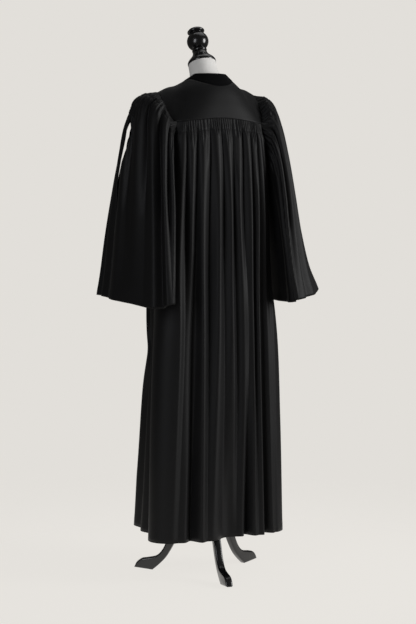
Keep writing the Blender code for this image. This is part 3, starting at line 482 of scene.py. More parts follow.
class RobeSizes(bpy.types.PropertyGroup):
    cloth: FloatProperty(
        name="Cloth", description="Thickness of the robe's cloth", default=0.0012, unit="LENGTH"
    )
    velvet: FloatProperty(
        name="Velvet",
        description="Thickness of the neckband with its pile",
        default=0.0028,
        unit="LENGTH",
    )
    roundness: FloatProperty(
        name="Roundness",
        description="How tube-like the flutes are under the yoke",
        default=0.95,
        min=0.0,
        max=1.0,
    )
    tuck: FloatProperty(
        name="Tucks",
        description="Height of the fine tucks at the gathered seams",
        default=0.0013,
        unit="LENGTH",
    )
    turn_up: FloatProperty(
        name="Turn-up", description="Depth of the turned-up hems", default=0.034, unit="LENGTH"
    )
    stitch: FloatProperty(
        name="Stitch", description="Length of one stitch", default=0.0028, unit="LENGTH"
    )
    back_tucks: IntProperty(name="Back tucks", description="Fine tucks across the back", default=46)


class RobeColours(bpy.types.PropertyGroup):
    cloth: FloatVectorProperty(
        name="Cloth", description="Black twill", subtype="COLOR", default=linear("#070708")
    )
    worn: FloatVectorProperty(
        name="Raised twill",
        description="Twill where light catches its ribs",
        subtype="COLOR",
        default=linear("#0c0c0d"),
    )
    thread: FloatVectorProperty(
        name="Thread", description="Black sewing thread", subtype="COLOR", default=linear("#222224")
    )
    velvet: FloatVectorProperty(
        name="Velvet", description="Black velvet", subtype="COLOR", default=linear("#030304")
    )
    jersey: FloatVectorProperty(
        name="Jersey", description="White cotton jersey", subtype="COLOR", default=linear("#eeece8")
    )
    lacquer: FloatVectorProperty(
        name="Lacquer", description="Black lacquer", subtype="COLOR", default=linear("#0b0b0c")
    )
    steel: FloatVectorProperty(
        name="Steel", description="Black painted steel", subtype="COLOR", default=linear("#161618")
    )
    studio: FloatVectorProperty(
        name="Studio", description="Pale studio floor and wall", subtype="COLOR", default=linear("#e2dfda")
    )


def smooth(value):
    """Eases from 0 to 1 as value goes from 0 to 1."""
    clipped = np.clip(value, 0.0, 1.0)
    return clipped * clipped * (3.0 - 2.0 * clipped)


def along(keys, values, at):
    """A smooth curve through a table's values, read at one or many places."""
    slopes = np.gradient(values, keys)
    at = np.clip(at, keys[0], keys[-1])
    low = np.clip(np.searchsorted(keys, at, side="right") - 1, 0, len(keys) - 2)
    step = keys[low + 1] - keys[low]
    t = (at - keys[low]) / step
    rise = values[low + 1] - values[low]
    eased = values[low] + rise * (3.0 * t**2 - 2.0 * t**3)
    return eased + step * (slopes[low] * (t**3 - 2.0 * t**2 + t) + slopes[low + 1] * (t**3 - t**2))


def section(rows, at):
    """Every column of a table, read where its first column has that value."""
    key = next(iter(rows))
    return {name: along(rows[key], rows[name], at) for name in rows}


def loop_radius(angle, row):
    """Distance of a rounded loop from its centre, at an angle from the centre back."""
    is_back = np.cos(angle) >= 0.0
    depth = np.where(is_back, row["back"], row["front"])
    square = np.where(is_back, row["square"], row.get("front_square", row["square"]))
    total = np.abs(np.sin(angle) / row["half_width"]) ** square + np.abs(np.cos(angle) / depth) ** square
    return total ** (-1.0 / square)


def loop_height(angle, row):
    """Height of a loop that rises over the shoulders between level back and front runs."""
    is_back = np.cos(angle) >= 0.0
    corner = np.radians(np.where(is_back, BACK_CORNER, FRONT_CORNER))
    level = np.where(is_back, row["z_back"], row["z_front"])
    level = level - row["corner_drop"] * (np.sin(angle) / np.sin(corner)) ** 2
    return row["z_side"] + (level - row["z_side"]) * smooth(np.cos(angle) / np.cos(corner))


def upper_points(degrees, down):
    """Points of the smooth neckband and yoke surface."""
    angle = np.radians(degrees)
    row = section(UPPER, down)
    radius = loop_radius(angle, row)
    return np.stack([radius * np.sin(angle), radius * np.cos(angle), loop_height(angle, row)], axis=-1)


def hollow_depth(degrees, z):
    """How far the skirt falls inwards in its wide hollows."""
    depth = 0.0
    for angle, half_angle, top_z, at_hem in zip(*HOLLOWS.values()):
        share = smooth((top_z - z) / (top_z - HEM_Z))
        depth = depth + at_hem * share * np.exp(-(((degrees - angle) / half_angle) ** 2))
    return depth


def lower_points(degrees, z):
    """Points of the smooth surface of the body panels."""
    angle = np.radians(degrees)
    row = section(LOWER, z)
    radius = loop_radius(angle, row) - hollow_depth(degrees, z)
    y = radius * np.cos(angle)
    taper = np.where(y >= 0.0, row["taper"], row["front_taper"])
    flat = np.stack([radius * np.sin(angle) * (1.0 + taper * y), y], axis=-1)
    return np.concatenate([flat, np.broadcast_to(z, radius.shape)[..., None]], axis=-1)


def lower_normals(degrees, z):
    """The outward directions of that surface, in plan."""
    run = lower_points(degrees + NORMAL_STEP, z) - lower_points(degrees - NORMAL_STEP, z)
    normals = np.stack([-run[..., 1], run[..., 0], np.zeros(run.shape[:-1])], axis=-1)
    outward = np.sign((normals * lower_points(degrees, z)).sum(axis=-1))
    return normals * (outward / np.linalg.norm(normals, axis=-1))[..., None]


def seam_height(degrees):
    """Height of the top of the body panels, which hang from the yoke."""
    return upper_points(degrees, YOKE_END)[..., 2] - SEAM


def hem_height(degrees):
    """The hem rises a little towards the centre front."""
    return HEM_Z + FRONT_HEM_RISE * smooth((np.abs(degrees) - SIDE_ANGLE) / SIDE_ANGLE)


def panel_edge(z, is_back):
    """Angle of a panel's side edge: the armhole above the underarm, the side seam below."""
    corner = BACK_CORNER if is_back else FRONT_CORNER
    top = seam_height(corner)
    return corner + (SIDE_ANGLE - corner) * smooth((top - z) / (top - UNDERARM_Z))


def angle_across(distance, z, is_back):
    """Angle at which the smooth surface lies that far sideways of the centre line."""
    row = section(LOWER, z)
    end = row["back"] if is_back else -row["front"]
    square = row["square"] if is_back else row["front_square"]
    taper = row["taper"] if is_back else row["front_taper"]
    across = np.abs(distance) / (1.0 + taper * end)
    share = np.clip(across / row["half_width"], 0.0, 0.995)
    depth = np.abs(end) * (1.0 - share**square) ** (1.0 / square)
    degrees = np.degrees(np.arctan2(share * row["half_width"], depth))
    return np.sign(distance) * degrees if is_back else 180.0 - degrees


def at_level(levels, folds, prefix, level):
    """The value of every fold at a level, between the levels that the table names."""
    order = np.argsort(levels)
    keys = np.array(levels)[order]
    columns = np.array([folds[name] for name in folds if name.startswith(prefix)])[order]
    return np.array([along(keys, columns[:, fold], level) for fold in range(columns.shape[1])])


def fold_track(start, ridges, end, phase):
    """Place on a row of folds: whole phases are valleys, half phases are ridges."""
    stops = np.empty((2 * len(ridges) + 1, len(phase)))
    stops[0] = start
    stops[-1] = end
    stops[1::2] = ridges
    stops[2:-1:2] = (ridges[:-1] + ridges[1:]) / 2.0
    low = np.minimum((2.0 * phase).astype(int), len(stops) - 2)
    share = 2.0 * phase - low
    place = np.arange(len(phase))
    return stops[low, place] * (1.0 - share) + stops[low + 1, place] * share


def tube(share, roundness):
    """Rises from a valley to a ridge as a soft wave, or as a round tube beside a narrow valley."""
    wave = 0.5 - 0.5 * np.cos(np.pi * share)
    arch = np.sqrt(np.maximum(1.0 - (1.0 - share) ** 2, 0.0))
    return wave + (arch - wave) * roundness


def fold_out(heights, depths, phase, is_tube, roundness):
    """How far the cloth stands out of its smooth surface at each column's phase."""
    stops = np.empty((2 * len(heights) + 1, len(phase)))
    stops[1::2] = heights
    stops[2::2] = -depths
    stops[0] = stops[-1] = stops[-1] if is_tube else 0.0
    low = np.minimum((2.0 * phase).astype(int), len(stops) - 2)
    share = 2.0 * phase - low
    rising = low % 2 == 0
    eased = np.where(rising, tube(share, roundness), 1.0 - tube(1.0 - share, roundness))
    place = np.arange(len(phase))
    return stops[low, place] * (1.0 - eased) + stops[low + 1, place] * eased


def waver(place, waves):
    """The sum of a few slow waves along a seam."""
    return sum(size * np.sin(speed * place + start) for size, speed, start in waves)


def tucks(place, count, from_seam, height, length):
    """Fine tucks beside a seam, uneven in width and length, pinched by the second gathering row."""
    uneven = place * count + waver(place, TUCK_SHIFTS)
    reach = length * (1.0 + waver(place, TUCK_REACHES))
    window = smooth(from_seam / TUCK_START) * smooth((reach - from_seam) / TUCK_FADE)
    strength = TUCK_STRENGTH + waver(place, TUCK_HEIGHTS)
    pinch = np.exp(-(((from_seam - length / 2.0) / TUCK_PINCH_WIDTH) ** 2))
    return height * window * strength * np.cos(2.0 * np.pi * uneven) - TUCK_PINCH * pinch


def crease_out(creases, across, down):
    """Height of the listed lesser creases at each point."""
    first, last, top, low, half, out = creases.values()
    total = np.zeros(np.broadcast(across, down).shape)
    for i in range(len(out)):
        share = (down - top[i]) / (low[i] - top[i])
        centre = first[i] + (last[i] - first[i]) * share
        fade = np.sin(np.pi * np.clip(share, 0.0, 1.0)) ** 0.7
        total += out[i] * fade * np.exp(-(((across - centre) / half[i]) ** 2))
    return total


def body_depths(length):
    """Shares of a panel's length at which its rows lie, close together under the seam."""
    fine = np.arange(0.0, FINE_DEPTH, FINE_ROW)
    coarse = np.linspace(FINE_DEPTH, length, int((length - FINE_DEPTH) / COARSE_ROW))
    return np.concatenate([fine, coarse]) / length


def body_panel(sizes, is_back, side, depths=None, lift=0.0):
    """Rows of points of the back panel, or of the front panel on one side (1 left, -1 right).

    depths names other rows, by their share of its length; lift moves them off the cloth.
    """
    folds, levels, creases = BACK_SHAPE if is_back else FRONT_SHAPE
    count = len(folds["at_yoke"])
    columns = np.linspace(0.0, count, count * COLUMNS_PER_FOLD + 1)
    middle = 180.0
    inwards = 1.0 if is_back else -1.0
    tuck_count = sizes.back_tucks * (1.0 if is_back else FRONT_TUCK_SHARE)
    rows = []
    for depth in body_depths(PANEL_LENGTH) if depths is None else depths:
        z = np.full(len(columns), YOKE_Z)
        for _ in range(3):
            ridges = angle_across(at_level(levels, folds, "at_", z), z, is_back)
            edge = panel_edge(z, is_back)
            degrees = fold_track(-edge if is_back else middle, ridges, edge, columns)
            top = seam_height(degrees)
            z = top + (hem_height(degrees) - top) * depth
        from_seam = top - z
        to_hem = z - hem_height(degrees)
        roundness = sizes.roundness * (1.0 - LOW_SOFTNESS * smooth(from_seam / BODY_SOFT_LENGTH))
        heights = at_level(levels, folds, "out_", z)
        out = fold_out(heights, at_level(levels, folds, "in_", z), columns, False, roundness)
        out *= smooth(from_seam / FLUTE_START)
        smooth_points = lower_points(degrees, z)
        across = smooth_points[:, 0] if is_back else np.abs(smooth_points[:, 0])
        out += crease_out(creases, across, z)
        out += tucks(columns / count, tuck_count, from_seam, sizes.tuck, BODY_GATHER_LENGTH)
        out += HEM_STEP * smooth((sizes.turn_up - to_hem) / HEM_STEP_WIDTH)
        out *= smooth((edge - np.abs(degrees)) * inwards / SIDE_FLAT)
        if not is_back:
            out *= smooth((middle - degrees - CENTRE_FLAT) / CENTRE_FLAT)
        points = smooth_points + lower_normals(degrees, z) * (out + lift)[:, None]
        rows.append(points * [1.0 if is_back else side, 1.0, 1.0])
    return np.array(rows)


def armhole_points(degrees):
    """Points of the armhole, by angle round the arm (0 top, 90 back, 180 underarm)."""
    turn = (degrees + 180.0) % 360.0 - 180.0
    is_back = turn >= 0.0
    corner = np.where(is_back, BACK_CORNER, FRONT_CORNER)
    share = np.abs(turn) / YOKE_SHARE_ANGLE
    on_yoke = upper_points(SIDE_ANGLE + (corner - SIDE_ANGLE) * np.minimum(share, 1.0), YOKE_END)
    share = (np.abs(turn) - YOKE_SHARE_ANGLE) / (180.0 - YOKE_SHARE_ANGLE)
    top = seam_height(corner)
    z = top + (UNDERARM_Z - top) * np.clip(share, 0.0, 1.0)
    edge = np.where(is_back, panel_edge(z, True), panel_edge(z, False))
    return np.where((share <= 0.0)[:, None], on_yoke, lower_points(edge, z))


def ring_points(degrees, run, outer_name):
    """Points of the sleeve's smooth surface beyond the armhole."""
    turn = np.radians(degrees)
    row = section(SLEEVE_RINGS, run)
    outer_x = row[outer_name]
    centre_x = (outer_x + row["inner_x"]) / 2.0
    centre_z = (row["outer_z"] + row["inner_z"]) / 2.0
    is_back = np.sin(turn) >= 0.0
    spread = np.abs(np.sin(turn))
    end_x = np.where(is_back, row["back_x"], row["front_x"])
    end_y = np.where(is_back, row["back_y"], row["front_y"])
    outer = centre_x + (outer_x - centre_x) * np.cos(turn) + (end_x - centre_x) * spread
    inner = row["inner_x"] + (end_x - row["inner_x"]) * spread
    x = np.where(np.cos(turn) >= 0.0, outer, inner)
    z = centre_z + (row["outer_z"] - centre_z) * np.cos(turn)
    return np.stack([x, end_y * spread, z], axis=-1)


def sleeve_points(degrees, run, outer_name):
    """The sleeve's smooth surface, from the armhole to the cuff."""
    first = SLEEVE_RINGS["run"][0]
    if run < first:
        share = run / first
        return armhole_points(degrees) * (1.0 - share) + ring_points(degrees, first, outer_name) * share
    turn = (degrees + 180.0) % 360.0 - 180.0
    droop = along(CUFF_HEM["angle"], CUFF_HEM[outer_name.removesuffix("_x")], turn)
    droop = droop * smooth((run - HEM_SHAPE_START) / (SLEEVE_END - HEM_SHAPE_START))
    return ring_points(degrees, run + droop, outer_name)


def sleeve_normals(degrees, run, outer_name):
    """The outward directions of that surface."""
    ahead = sleeve_points(degrees + NORMAL_STEP, run, outer_name)
    round_arm = ahead - sleeve_points(degrees - NORMAL_STEP, run, outer_name)
    before = sleeve_points(degrees, max(run - SLEEVE_STEP, 0.0), outer_name)
    down_arm = sleeve_points(degrees, run + SLEEVE_STEP, outer_name) - before
    normals = np.cross(round_arm, down_arm)
    centre = sleeve_points(np.array([0.0, 180.0]), run, outer_name).mean(axis=0)
    points = sleeve_points(degrees, run, outer_name)
    outward = np.sign((normals * (points - centre)).sum(axis=-1))
    return normals * (outward / np.linalg.norm(normals, axis=-1))[:, None]


def sleeve_columns(first, last, run):
    """Phases of the columns of part of a sleeve, drawn aside where it is slit."""
    edges = [float(np.interp(run, SLITS["run"], SLITS[name])) for name in list(SLITS)[1:]]
    near_front, near_back, far_inner, far_outer = edges
    plain = np.linspace(first, last, (last - first) * SLEEVE_COLUMNS_PER_FOLD + 1)
    if first == SLIT_SEAM:
        return np.interp(plain, [first, NEAR_SPREAD, last], [near_back, NEAR_SPREAD, last])
    start, end = FAR_SPREAD
    middle = (start + end) / 2.0
    inner = np.interp(plain[plain <= middle], [0, start, middle], [0, start, far_inner])
    outer = np.interp(plain[plain >= middle], [middle, end, SLIT_SEAM], [far_outer, end, near_front])
    return np.concatenate([inner, outer])


def sleeve_runs():
    fine = np.arange(0.0, FINE_DEPTH, FINE_ROW)
    coarse = np.linspace(FINE_DEPTH, SLEEVE_END, int((SLEEVE_END - FINE_DEPTH) / COARSE_ROW * 1.4))
    return np.concatenate([fine, coarse])


def sleeve_half(sizes, side, first, last, runs=None, lift=0.0):
    """Rows of points of one half of a sleeve, fluted from its head to its cuff."""
    rows = []
    outer_name = "left_x" if side > 0 else "right_x"
    count = len(SLEEVE_FOLDS["at_head"])
    for run in sleeve_runs() if runs is None else runs:
        phases = sleeve_columns(first, last, run)
        ridges = at_level(SLEEVE_LEVELS, SLEEVE_FOLDS, "at_", run)[:, None]
        heights = at_level(SLEEVE_LEVELS, SLEEVE_FOLDS, "out_", run)[:, None]
        start = (ridges[0] + ridges[-1] - 360.0) / 2.0
        degrees = fold_track(start, ridges, start + 360.0, phases)
        roundness = sizes.roundness * (1.0 - LOW_SOFTNESS * smooth(run / SLEEVE_SOFT_LENGTH))
        valleys = at_level(SLEEVE_LEVELS, SLEEVE_FOLDS, "in_", run)[:, None]
        out = fold_out(heights, valleys, phases, True, roundness) * smooth(run / FLUTE_START)
        outer = 0.5 + 0.5 * np.cos(np.radians(degrees))
        height = SLEEVE_TUCK_SHARE * sizes.tuck
        fine = tucks(phases / count, count * TUCKS_PER_FOLD, run, height, SLEEVE_GATHER_LENGTH)
        out += fine * np.sqrt(outer)
        out += crease_out(SLEEVE_CREASES, degrees, run)
        out += HEM_STEP * smooth((sizes.turn_up - (SLEEVE_END - run)) / HEM_STEP_WIDTH)
        points = sleeve_points(degrees, run, outer_name)
        points = points + sleeve_normals(degrees, run, outer_name) * (out + lift)[:, None]
        rows.append(points * [side, 1.0, 1.0])
    return np.array(rows)


def moved_out(rows, distance):
    """Rows of points, moved away from the pole's axis along their own normals."""
    grid = np.array(rows)
    normals = np.cross(np.gradient(grid, axis=1), np.gradient(grid, axis=0))
    normals /= np.linalg.norm(normals, axis=2)[:, :, None]
    away = grid * [1.0, 1.0, 0.0] + [0.0, 0.0, 0.1]
    outward = np.sign((normals * away).sum(axis=2))[:, :, None]
    return grid + normals * outward * np.reshape(distance, (-1, 1, 1))


def finished_mesh(name, shape, place=None, edge_angle=None):
    """A smooth mesh of a shape, its faces turned outwards, moved into place and its edges kept crisp."""
    bmesh.ops.recalc_face_normals(shape, faces=shape.faces)
    if place:
        bmesh.ops.transform(shape, matrix=place, verts=shape.verts)
    mesh = bpy.data.meshes.new(name)
    shape.to_mesh(mesh)
    shape.free()
    mesh.shade_smooth()
    if edge_angle:
        mesh.set_sharp_from_angle(angle=edge_angle)
    return mesh


def cloth_mesh(name, rows, holes=()):
    """A sheet through rows of points, with a UV map that measures the cloth in metres."""
    grid = np.asarray(rows, float)
    across = np.linalg.norm(np.diff(grid, axis=1), axis=2)
    across = np.concatenate([np.zeros((len(grid), 1)), np.cumsum(across, axis=1)], axis=1)
    across -= across[:, -1:] / 2.0
    down = np.linalg.norm(np.diff(grid, axis=0), axis=2)
    down = np.concatenate([np.zeros((1, grid.shape[1])), np.cumsum(down, axis=0)], axis=0)
    shape = bmesh.new()
    uv = shape.loops.layers.uv.new("cloth")
    points = [[shape.verts.new(point) for point in row] for row in grid + np.array(POLE)]
    for i in range(len(points) - 1):
        for j in range(len(points[0]) - 1):
            if (i, j) in holes:
                continue
            corners = ((i, j), (i, j + 1), (i + 1, j + 1), (i + 1, j))
            face = shape.faces.new([points[a][b] for a, b in corners])
            for loop, (a, b) in zip(face.loops, corners):
                loop[uv].uv = (across[a, b], -down[a, b])
    bmesh.ops.remove_doubles(shape, verts=shape.verts, dist=CLOTH_MERGE)
    return finished_mesh(name, shape)


def add_piece(name, mesh, material, nodes=()):
    """Shows a mesh as a piece of the object, in place of its CAD nodes."""
    mesh.materials.clear()
    mesh.materials.append(material)
    piece = bpy.data.objects.new(name, mesh)
    bpy.context.scene.collection.objects.link(piece)
    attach(piece, "root")
    if nodes:
        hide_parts(*nodes)
    return piece


def add_cloth(name, rows, material, node, thickness, holes=()):
    """A sheet of cloth with its thickness on both sides of the rows of points."""
    piece = add_piece(name, cloth_mesh(name, rows, holes), material, [node])
    wall = piece.modifiers.new("thickness", "SOLIDIFY")
    wall.thickness = thickness
    wall.offset = 0.0
    return piece


# A wave texture of scale 1 repeats every 0.314 of its own units.
BAND_OF_WAVE = 0.314
BLACK = (0.0, 0.0, 0.0)


def node(tree, kind, links=None, **settings):
    """Adds a node with its settings, and with each input given a value or joined to a socket."""
    new = tree.nodes.new(kind)
    for name, value in settings.items():
        setattr(new, name, value)
    for name, value in (links or {}).items():
        if isinstance(value, bpy.types.NodeSocket):
            tree.links.new(value, new.inputs[name])
        else:
            new.inputs[name].default_value = value
    return new


def blend(tree, share, first, second):
    """A colour between two, by a share."""
    links = {"Factor": share, "A": (*first, 1.0), "B": (*second, 1.0)}
    return node(tree, "ShaderNodeMix", links, data_type="RGBA")


def new_material(name):
    """A material with its Principled surface and its tree."""
    material = bpy.data.materials.new(name)
    material.use_nodes = True
    tree = material.node_tree
    return material, tree, tree.nodes["Principled BSDF"]


def set_inputs(surface, **values):
    """Sets constants on the shader's own sockets."""
    for name, value in values.items():
        surface.inputs[name.replace("_", " ")].default_value = value


def polyester_twill(colours):
    """Black polyester twill with a soft satin face: smooth, dark, a gentle sheen on its ridges."""
    material, tree, surface = new_material("polyester_twill_woven")
    cloth = node(tree, "ShaderNodeUVMap", uv_map="cloth")
    # Real ribs lie 0.6 mm apart; they are drawn 1.5 mm apart so that they show close up.
    slant = (0.0, 0.0, math.radians(63.0))
    turned = node(tree, "ShaderNodeMapping", {"Vector": cloth.outputs["UV"], "Rotation": slant})
    ribs = node(
        tree,
        "ShaderNodeTexWave",
        {"Vector": turned.outputs["Vector"], "Scale": BAND_OF_WAVE / 0.0015, "Distortion": 0.4},
        wave_type="BANDS",
        bands_direction="X",
    )
    place = node(tree, "ShaderNodeTexCoord")
    # Soft unevenness of pressed and worn cloth, about 70 mm across.
    at = place.outputs["Object"]
    uneven = node(tree, "ShaderNodeTexNoise", {"Vector": at, "Scale": 14.0, "Detail": 2.0})
    mixed = blend(tree, uneven.outputs["Fac"], colours.cloth, colours.worn)
    rough = node(
        tree, "ShaderNodeMapRange", {"Value": uneven.outputs["Fac"], "To Min": 0.52, "To Max": 0.60}
    )
    bump = node(tree, "ShaderNodeBump", {"Height": ribs.outputs["Fac"], "Strength": 0.25, "Distance": 0.0002})
    tree.links.new(mixed.outputs["Result"], surface.inputs["Base Color"])
    tree.links.new(rough.outputs["Result"], surface.inputs["Roughness"])
    tree.links.new(bump.outputs["Normal"], surface.inputs["Normal"])
    set_inputs(surface, Sheen_Weight=0.02, Sheen_Roughness=0.45, Specular_IOR_Level=0.20, IOR=1.5)
    return material


def cotton_velvet(colours):
    """Black cotton velvet: the cut pile swallows light and glows faintly where it is seen edge on."""
    material, tree, surface = new_material("cotton_velvet_cut_pile")
    place = node(tree, "ShaderNodeTexCoord")
    # Tufts of the pile are 0.3 mm; they are drawn 1.4 mm so that the nap shows.
    at = place.outputs["Object"]
    pile = node(tree, "ShaderNodeTexNoise", {"Vector": at, "Scale": 700.0, "Detail": 2.0})
    brushed = node(tree, "ShaderNodeTexNoise", {"Vector": at, "Scale": 45.0})
    mixed = blend(tree, brushed.outputs["Fac"], colours.velvet, colours.cloth)
    bump = node(tree, "ShaderNodeBump", {"Height": pile.outputs["Fac"], "Strength": 0.6, "Distance": 0.0006})
    tree.links.new(mixed.outputs["Result"], surface.inputs["Base Color"])
    tree.links.new(bump.outputs["Normal"], surface.inputs["Normal"])
    set_inputs(surface, Roughness=0.95, Sheen_Weight=0.04, Sheen_Roughness=0.3, Specular_IOR_Level=0.08)
    return material


def polyester_thread(colours):
    """Black spun polyester thread: a touch brighter than the twill, so a row reads as a faint line."""
    material, tree, surface = new_material("polyester_thread_spun")
    place = node(tree, "ShaderNodeTexCoord")
    # The twist of the plies, 0.5 mm apart.
    twist = node(tree, "ShaderNodeTexNoise", {"Vector": place.outputs["Object"], "Scale": 2000.0})
    mixed = blend(tree, twist.outputs["Fac"], colours.cloth, colours.thread)
    tree.links.new(mixed.outputs["Result"], surface.inputs["Base Color"])
    set_inputs(surface, Roughness=0.55, Specular_IOR_Level=0.35, Sheen_Weight=0.05)
    return material


def cotton_jersey(colours):
    """White cotton jersey stretched over the form: matt, with fine knitted wales."""
    material, tree, surface = new_material("cotton_jersey_knitted")
    place = node(tree, "ShaderNodeTexCoord")
    # Wales are 1 mm apart and drawn 1.6 mm apart so that the knit shows close up.
    wales = node(
        tree,
        "ShaderNodeTexWave",
        {"Vector": place.outputs["Object"], "Scale": BAND_OF_WAVE / 0.0016, "Distortion": 1.2},
        wave_type="RINGS",
        rings_direction="Z",
    )
    at = place.outputs["Object"]
    fuzz = node(tree, "ShaderNodeTexNoise", {"Vector": at, "Scale": 60.0, "Detail": 3.0})
    tone = node(tree, "ShaderNodeMapRange", {"Value": fuzz.outputs["Fac"], "To Min": 0.93, "To Max": 1.0})
    shade = blend(tree, tone.outputs["Result"], BLACK, colours.jersey)
    knit = {"Height": wales.outputs["Fac"], "Strength": 0.35, "Distance": 0.0003}
    bump = node(tree, "ShaderNodeBump", knit)
    tree.links.new(shade.outputs["Result"], surface.inputs["Base Color"])
    tree.links.new(bump.outputs["Normal"], surface.inputs["Normal"])
    set_inputs(surface, Roughness=0.85, Sheen_Weight=0.2)
    return material


def wood_lacquer(colours):
    """Turned beech under black lacquer: a clear gloss, duller in patches where hands have been."""
    material, tree, surface = new_material("beech_black_lacquered")
    place = node(tree, "ShaderNodeTexCoord")
    # Orange peel of the sprayed lacquer, about 4 mm across.
    peel = node(tree, "ShaderNodeTexNoise", {"Vector": place.outputs["Object"], "Scale": 250.0})
    at = place.outputs["Object"]
    handled = node(tree, "ShaderNodeTexNoise", {"Vector": at, "Scale": 30.0, "Detail": 3.0})
    gloss = {"Value": handled.outputs["Fac"], "To Min": 0.20, "To Max": 0.30}
    rough = node(tree, "ShaderNodeMapRange", gloss)
    bump = node(tree, "ShaderNodeBump", {"Height": peel.outputs["Fac"], "Strength": 0.08, "Distance": 0.0003})
    tree.links.new(rough.outputs["Result"], surface.inputs["Roughness"])
    tree.links.new(bump.outputs["Normal"], surface.inputs["Normal"])
    set_inputs(surface, Base_Color=(*colours.lacquer, 1.0), IOR=1.5, Coat_Weight=0.35, Coat_Roughness=0.08)
    return material


def painted_steel(colours):
    """Steel tube under black enamel: even, a little glossy, with a fine paint grain."""
    material, tree, surface = new_material("steel_tube_enamelled")
    place = node(tree, "ShaderNodeTexCoord")
    grain = node(tree, "ShaderNodeTexNoise", {"Vector": place.outputs["Object"], "Scale": 400.0})
    rough = node(tree, "ShaderNodeMapRange", {"Value": grain.outputs["Fac"], "To Min": 0.3, "To Max": 0.42})
    bump = node(tree, "ShaderNodeBump", {"Height": grain.outputs["Fac"], "Strength": 0.1, "Distance": 0.0002})
    tree.links.new(rough.outputs["Result"], surface.inputs["Roughness"])
    tree.links.new(bump.outputs["Normal"], surface.inputs["Normal"])
    set_inputs(surface, Base_Color=(*colours.steel, 1.0), IOR=1.5)
    return material


def shared_material(maker):
    """The material that a maker function gives, made once."""
    key = maker.__name__
    if key not in MADE:
        MADE[key] = maker(bpy.context.scene.robe_colours)
    return MADE[key]


MADE = {}


def neck_angles():
    beside = 180.0 - PLACKET_ANGLE
    return np.concatenate([[-180.0], np.linspace(-beside, beside, NECK_COLUMNS), [180.0]])


def band_end(degrees):
    """The neckband is widest at the centre back and the centre front, and narrow over the shoulders."""
    beside = 90.0 - np.abs(90.0 - np.abs(degrees))
    return BAND_END * (1.0 - BAND_NARROWING * smooth(beside / BAND_NARROW_ANGLE))


def band_rows(angles):
    return [upper_points(angles, share * band_end(angles)) for share in np.linspace(0.0, 1.0, BAND_ROWS)]


def yoke_rows(angles):
    starts = band_end(angles)
    shares = np.linspace(0.0, 1.0, YOKE_ROWS)
    return [upper_points(angles, starts + share * (YOKE_END - starts)) for share in shares]


class ROBE_OT_yoke(bpy.types.Operator):
    """Makes the velvet neckband and the smooth yoke over the shoulders"""

    bl_idname = "robe.yoke"
    bl_label = "Make the neckband and yoke"

    def execute(self, context):
        sizes = context.scene.robe_sizes
        angles = neck_angles()
        velvet = shared_material(cotton_velvet)
        rows = band_rows(angles)
        band = add_cloth("neckband_velvet", rows, velvet, "neckband", sizes.velvet)
        twill = shared_material(polyester_twill)
        yoke = add_cloth("yoke_cloth", yoke_rows(angles), twill, "yoke", sizes.cloth)
        return {"FINISHED"}


class ROBE_OT_body(bpy.types.Operator):
    """Makes the gathered back panel and the two front panels"""

    bl_idname = "robe.body"
    bl_label = "Make the body panels"

    def execute(self, context):
        sizes = context.scene.robe_sizes
        twill = shared_material(polyester_twill)
        rows = body_panel(sizes, True, 1)
        back = add_cloth("back_cloth", rows, twill, "back_panel", sizes.cloth)
        for arm, side in (("left", 1), ("right", -1)):
            rows = body_panel(sizes, False, side)
            name = f"front_{arm}"
            front = add_cloth(name + "_cloth", rows, twill, name, sizes.cloth)
        return {"FINISHED"}


class ROBE_OT_sleeves(bpy.types.Operator):
    """Makes the two wide gathered sleeves, each in a back and a front half"""

    bl_idname = "robe.sleeves"
    bl_label = "Make the sleeves"

    def execute(self, context):
        sizes = context.scene.robe_sizes
        twill = shared_material(polyester_twill)
        count = len(SLEEVE_FOLDS["at_head"])
        slit = sum(FAR_SPREAD) // 2 * SLEEVE_COLUMNS_PER_FOLD
        runs = sleeve_runs()
        holes = {(i, slit) for i in range(len(runs) - 1) if SLIT_START <= runs[i] and runs[i + 1] <= SLIT_END}
        for arm, side in (("left", 1), ("right", -1)):
            for half, first, last, gone in (("back", SLIT_SEAM, count, ()), ("front", 0, SLIT_SEAM, holes)):
                rows = sleeve_half(sizes, side, first, last)
                name = f"sleeve_{arm}_{half}"
                sleeve = add_cloth(name + "_cloth", rows, twill, name, sizes.cloth, gone)
        return {"FINISHED"}


class ROBE_OT_placket(bpy.types.Operator):
    """Makes the plain strip that covers the centre front"""

    bl_idname = "robe.placket"
    bl_label = "Make the placket"

    def execute(self, context):
        sizes = context.scene.robe_sizes
        beside = 180.0 - PLACKET_ANGLE
        left_half = np.linspace(beside, 180.0, PLACKET_COLUMNS)
        right_half = np.linspace(-180.0, -beside, PLACKET_COLUMNS)
        across = np.concatenate([left_half, right_half[1:]])
        rows = yoke_rows(across)
        left = body_panel(sizes, False, 1)[1:]
        edge = np.linalg.norm(left[0, 0, :2] - left[0, :, :2], axis=1)
        last = int(np.searchsorted(edge, np.abs(rows[-1][0, 0])))
        taken = np.linspace(0, last, PLACKET_COLUMNS).astype(int)
        for row in left[:, taken]:
            rows.append(np.concatenate([row[::-1], row[1:] * [-1.0, 1.0, 1.0]]))
        placket = add_cloth(
            "placket_cloth",
            moved_out(rows, PLACKET_RISE),
            shared_material(polyester_twill),
            "front_placket",
            sizes.cloth,
        )
        return {"FINISHED"}


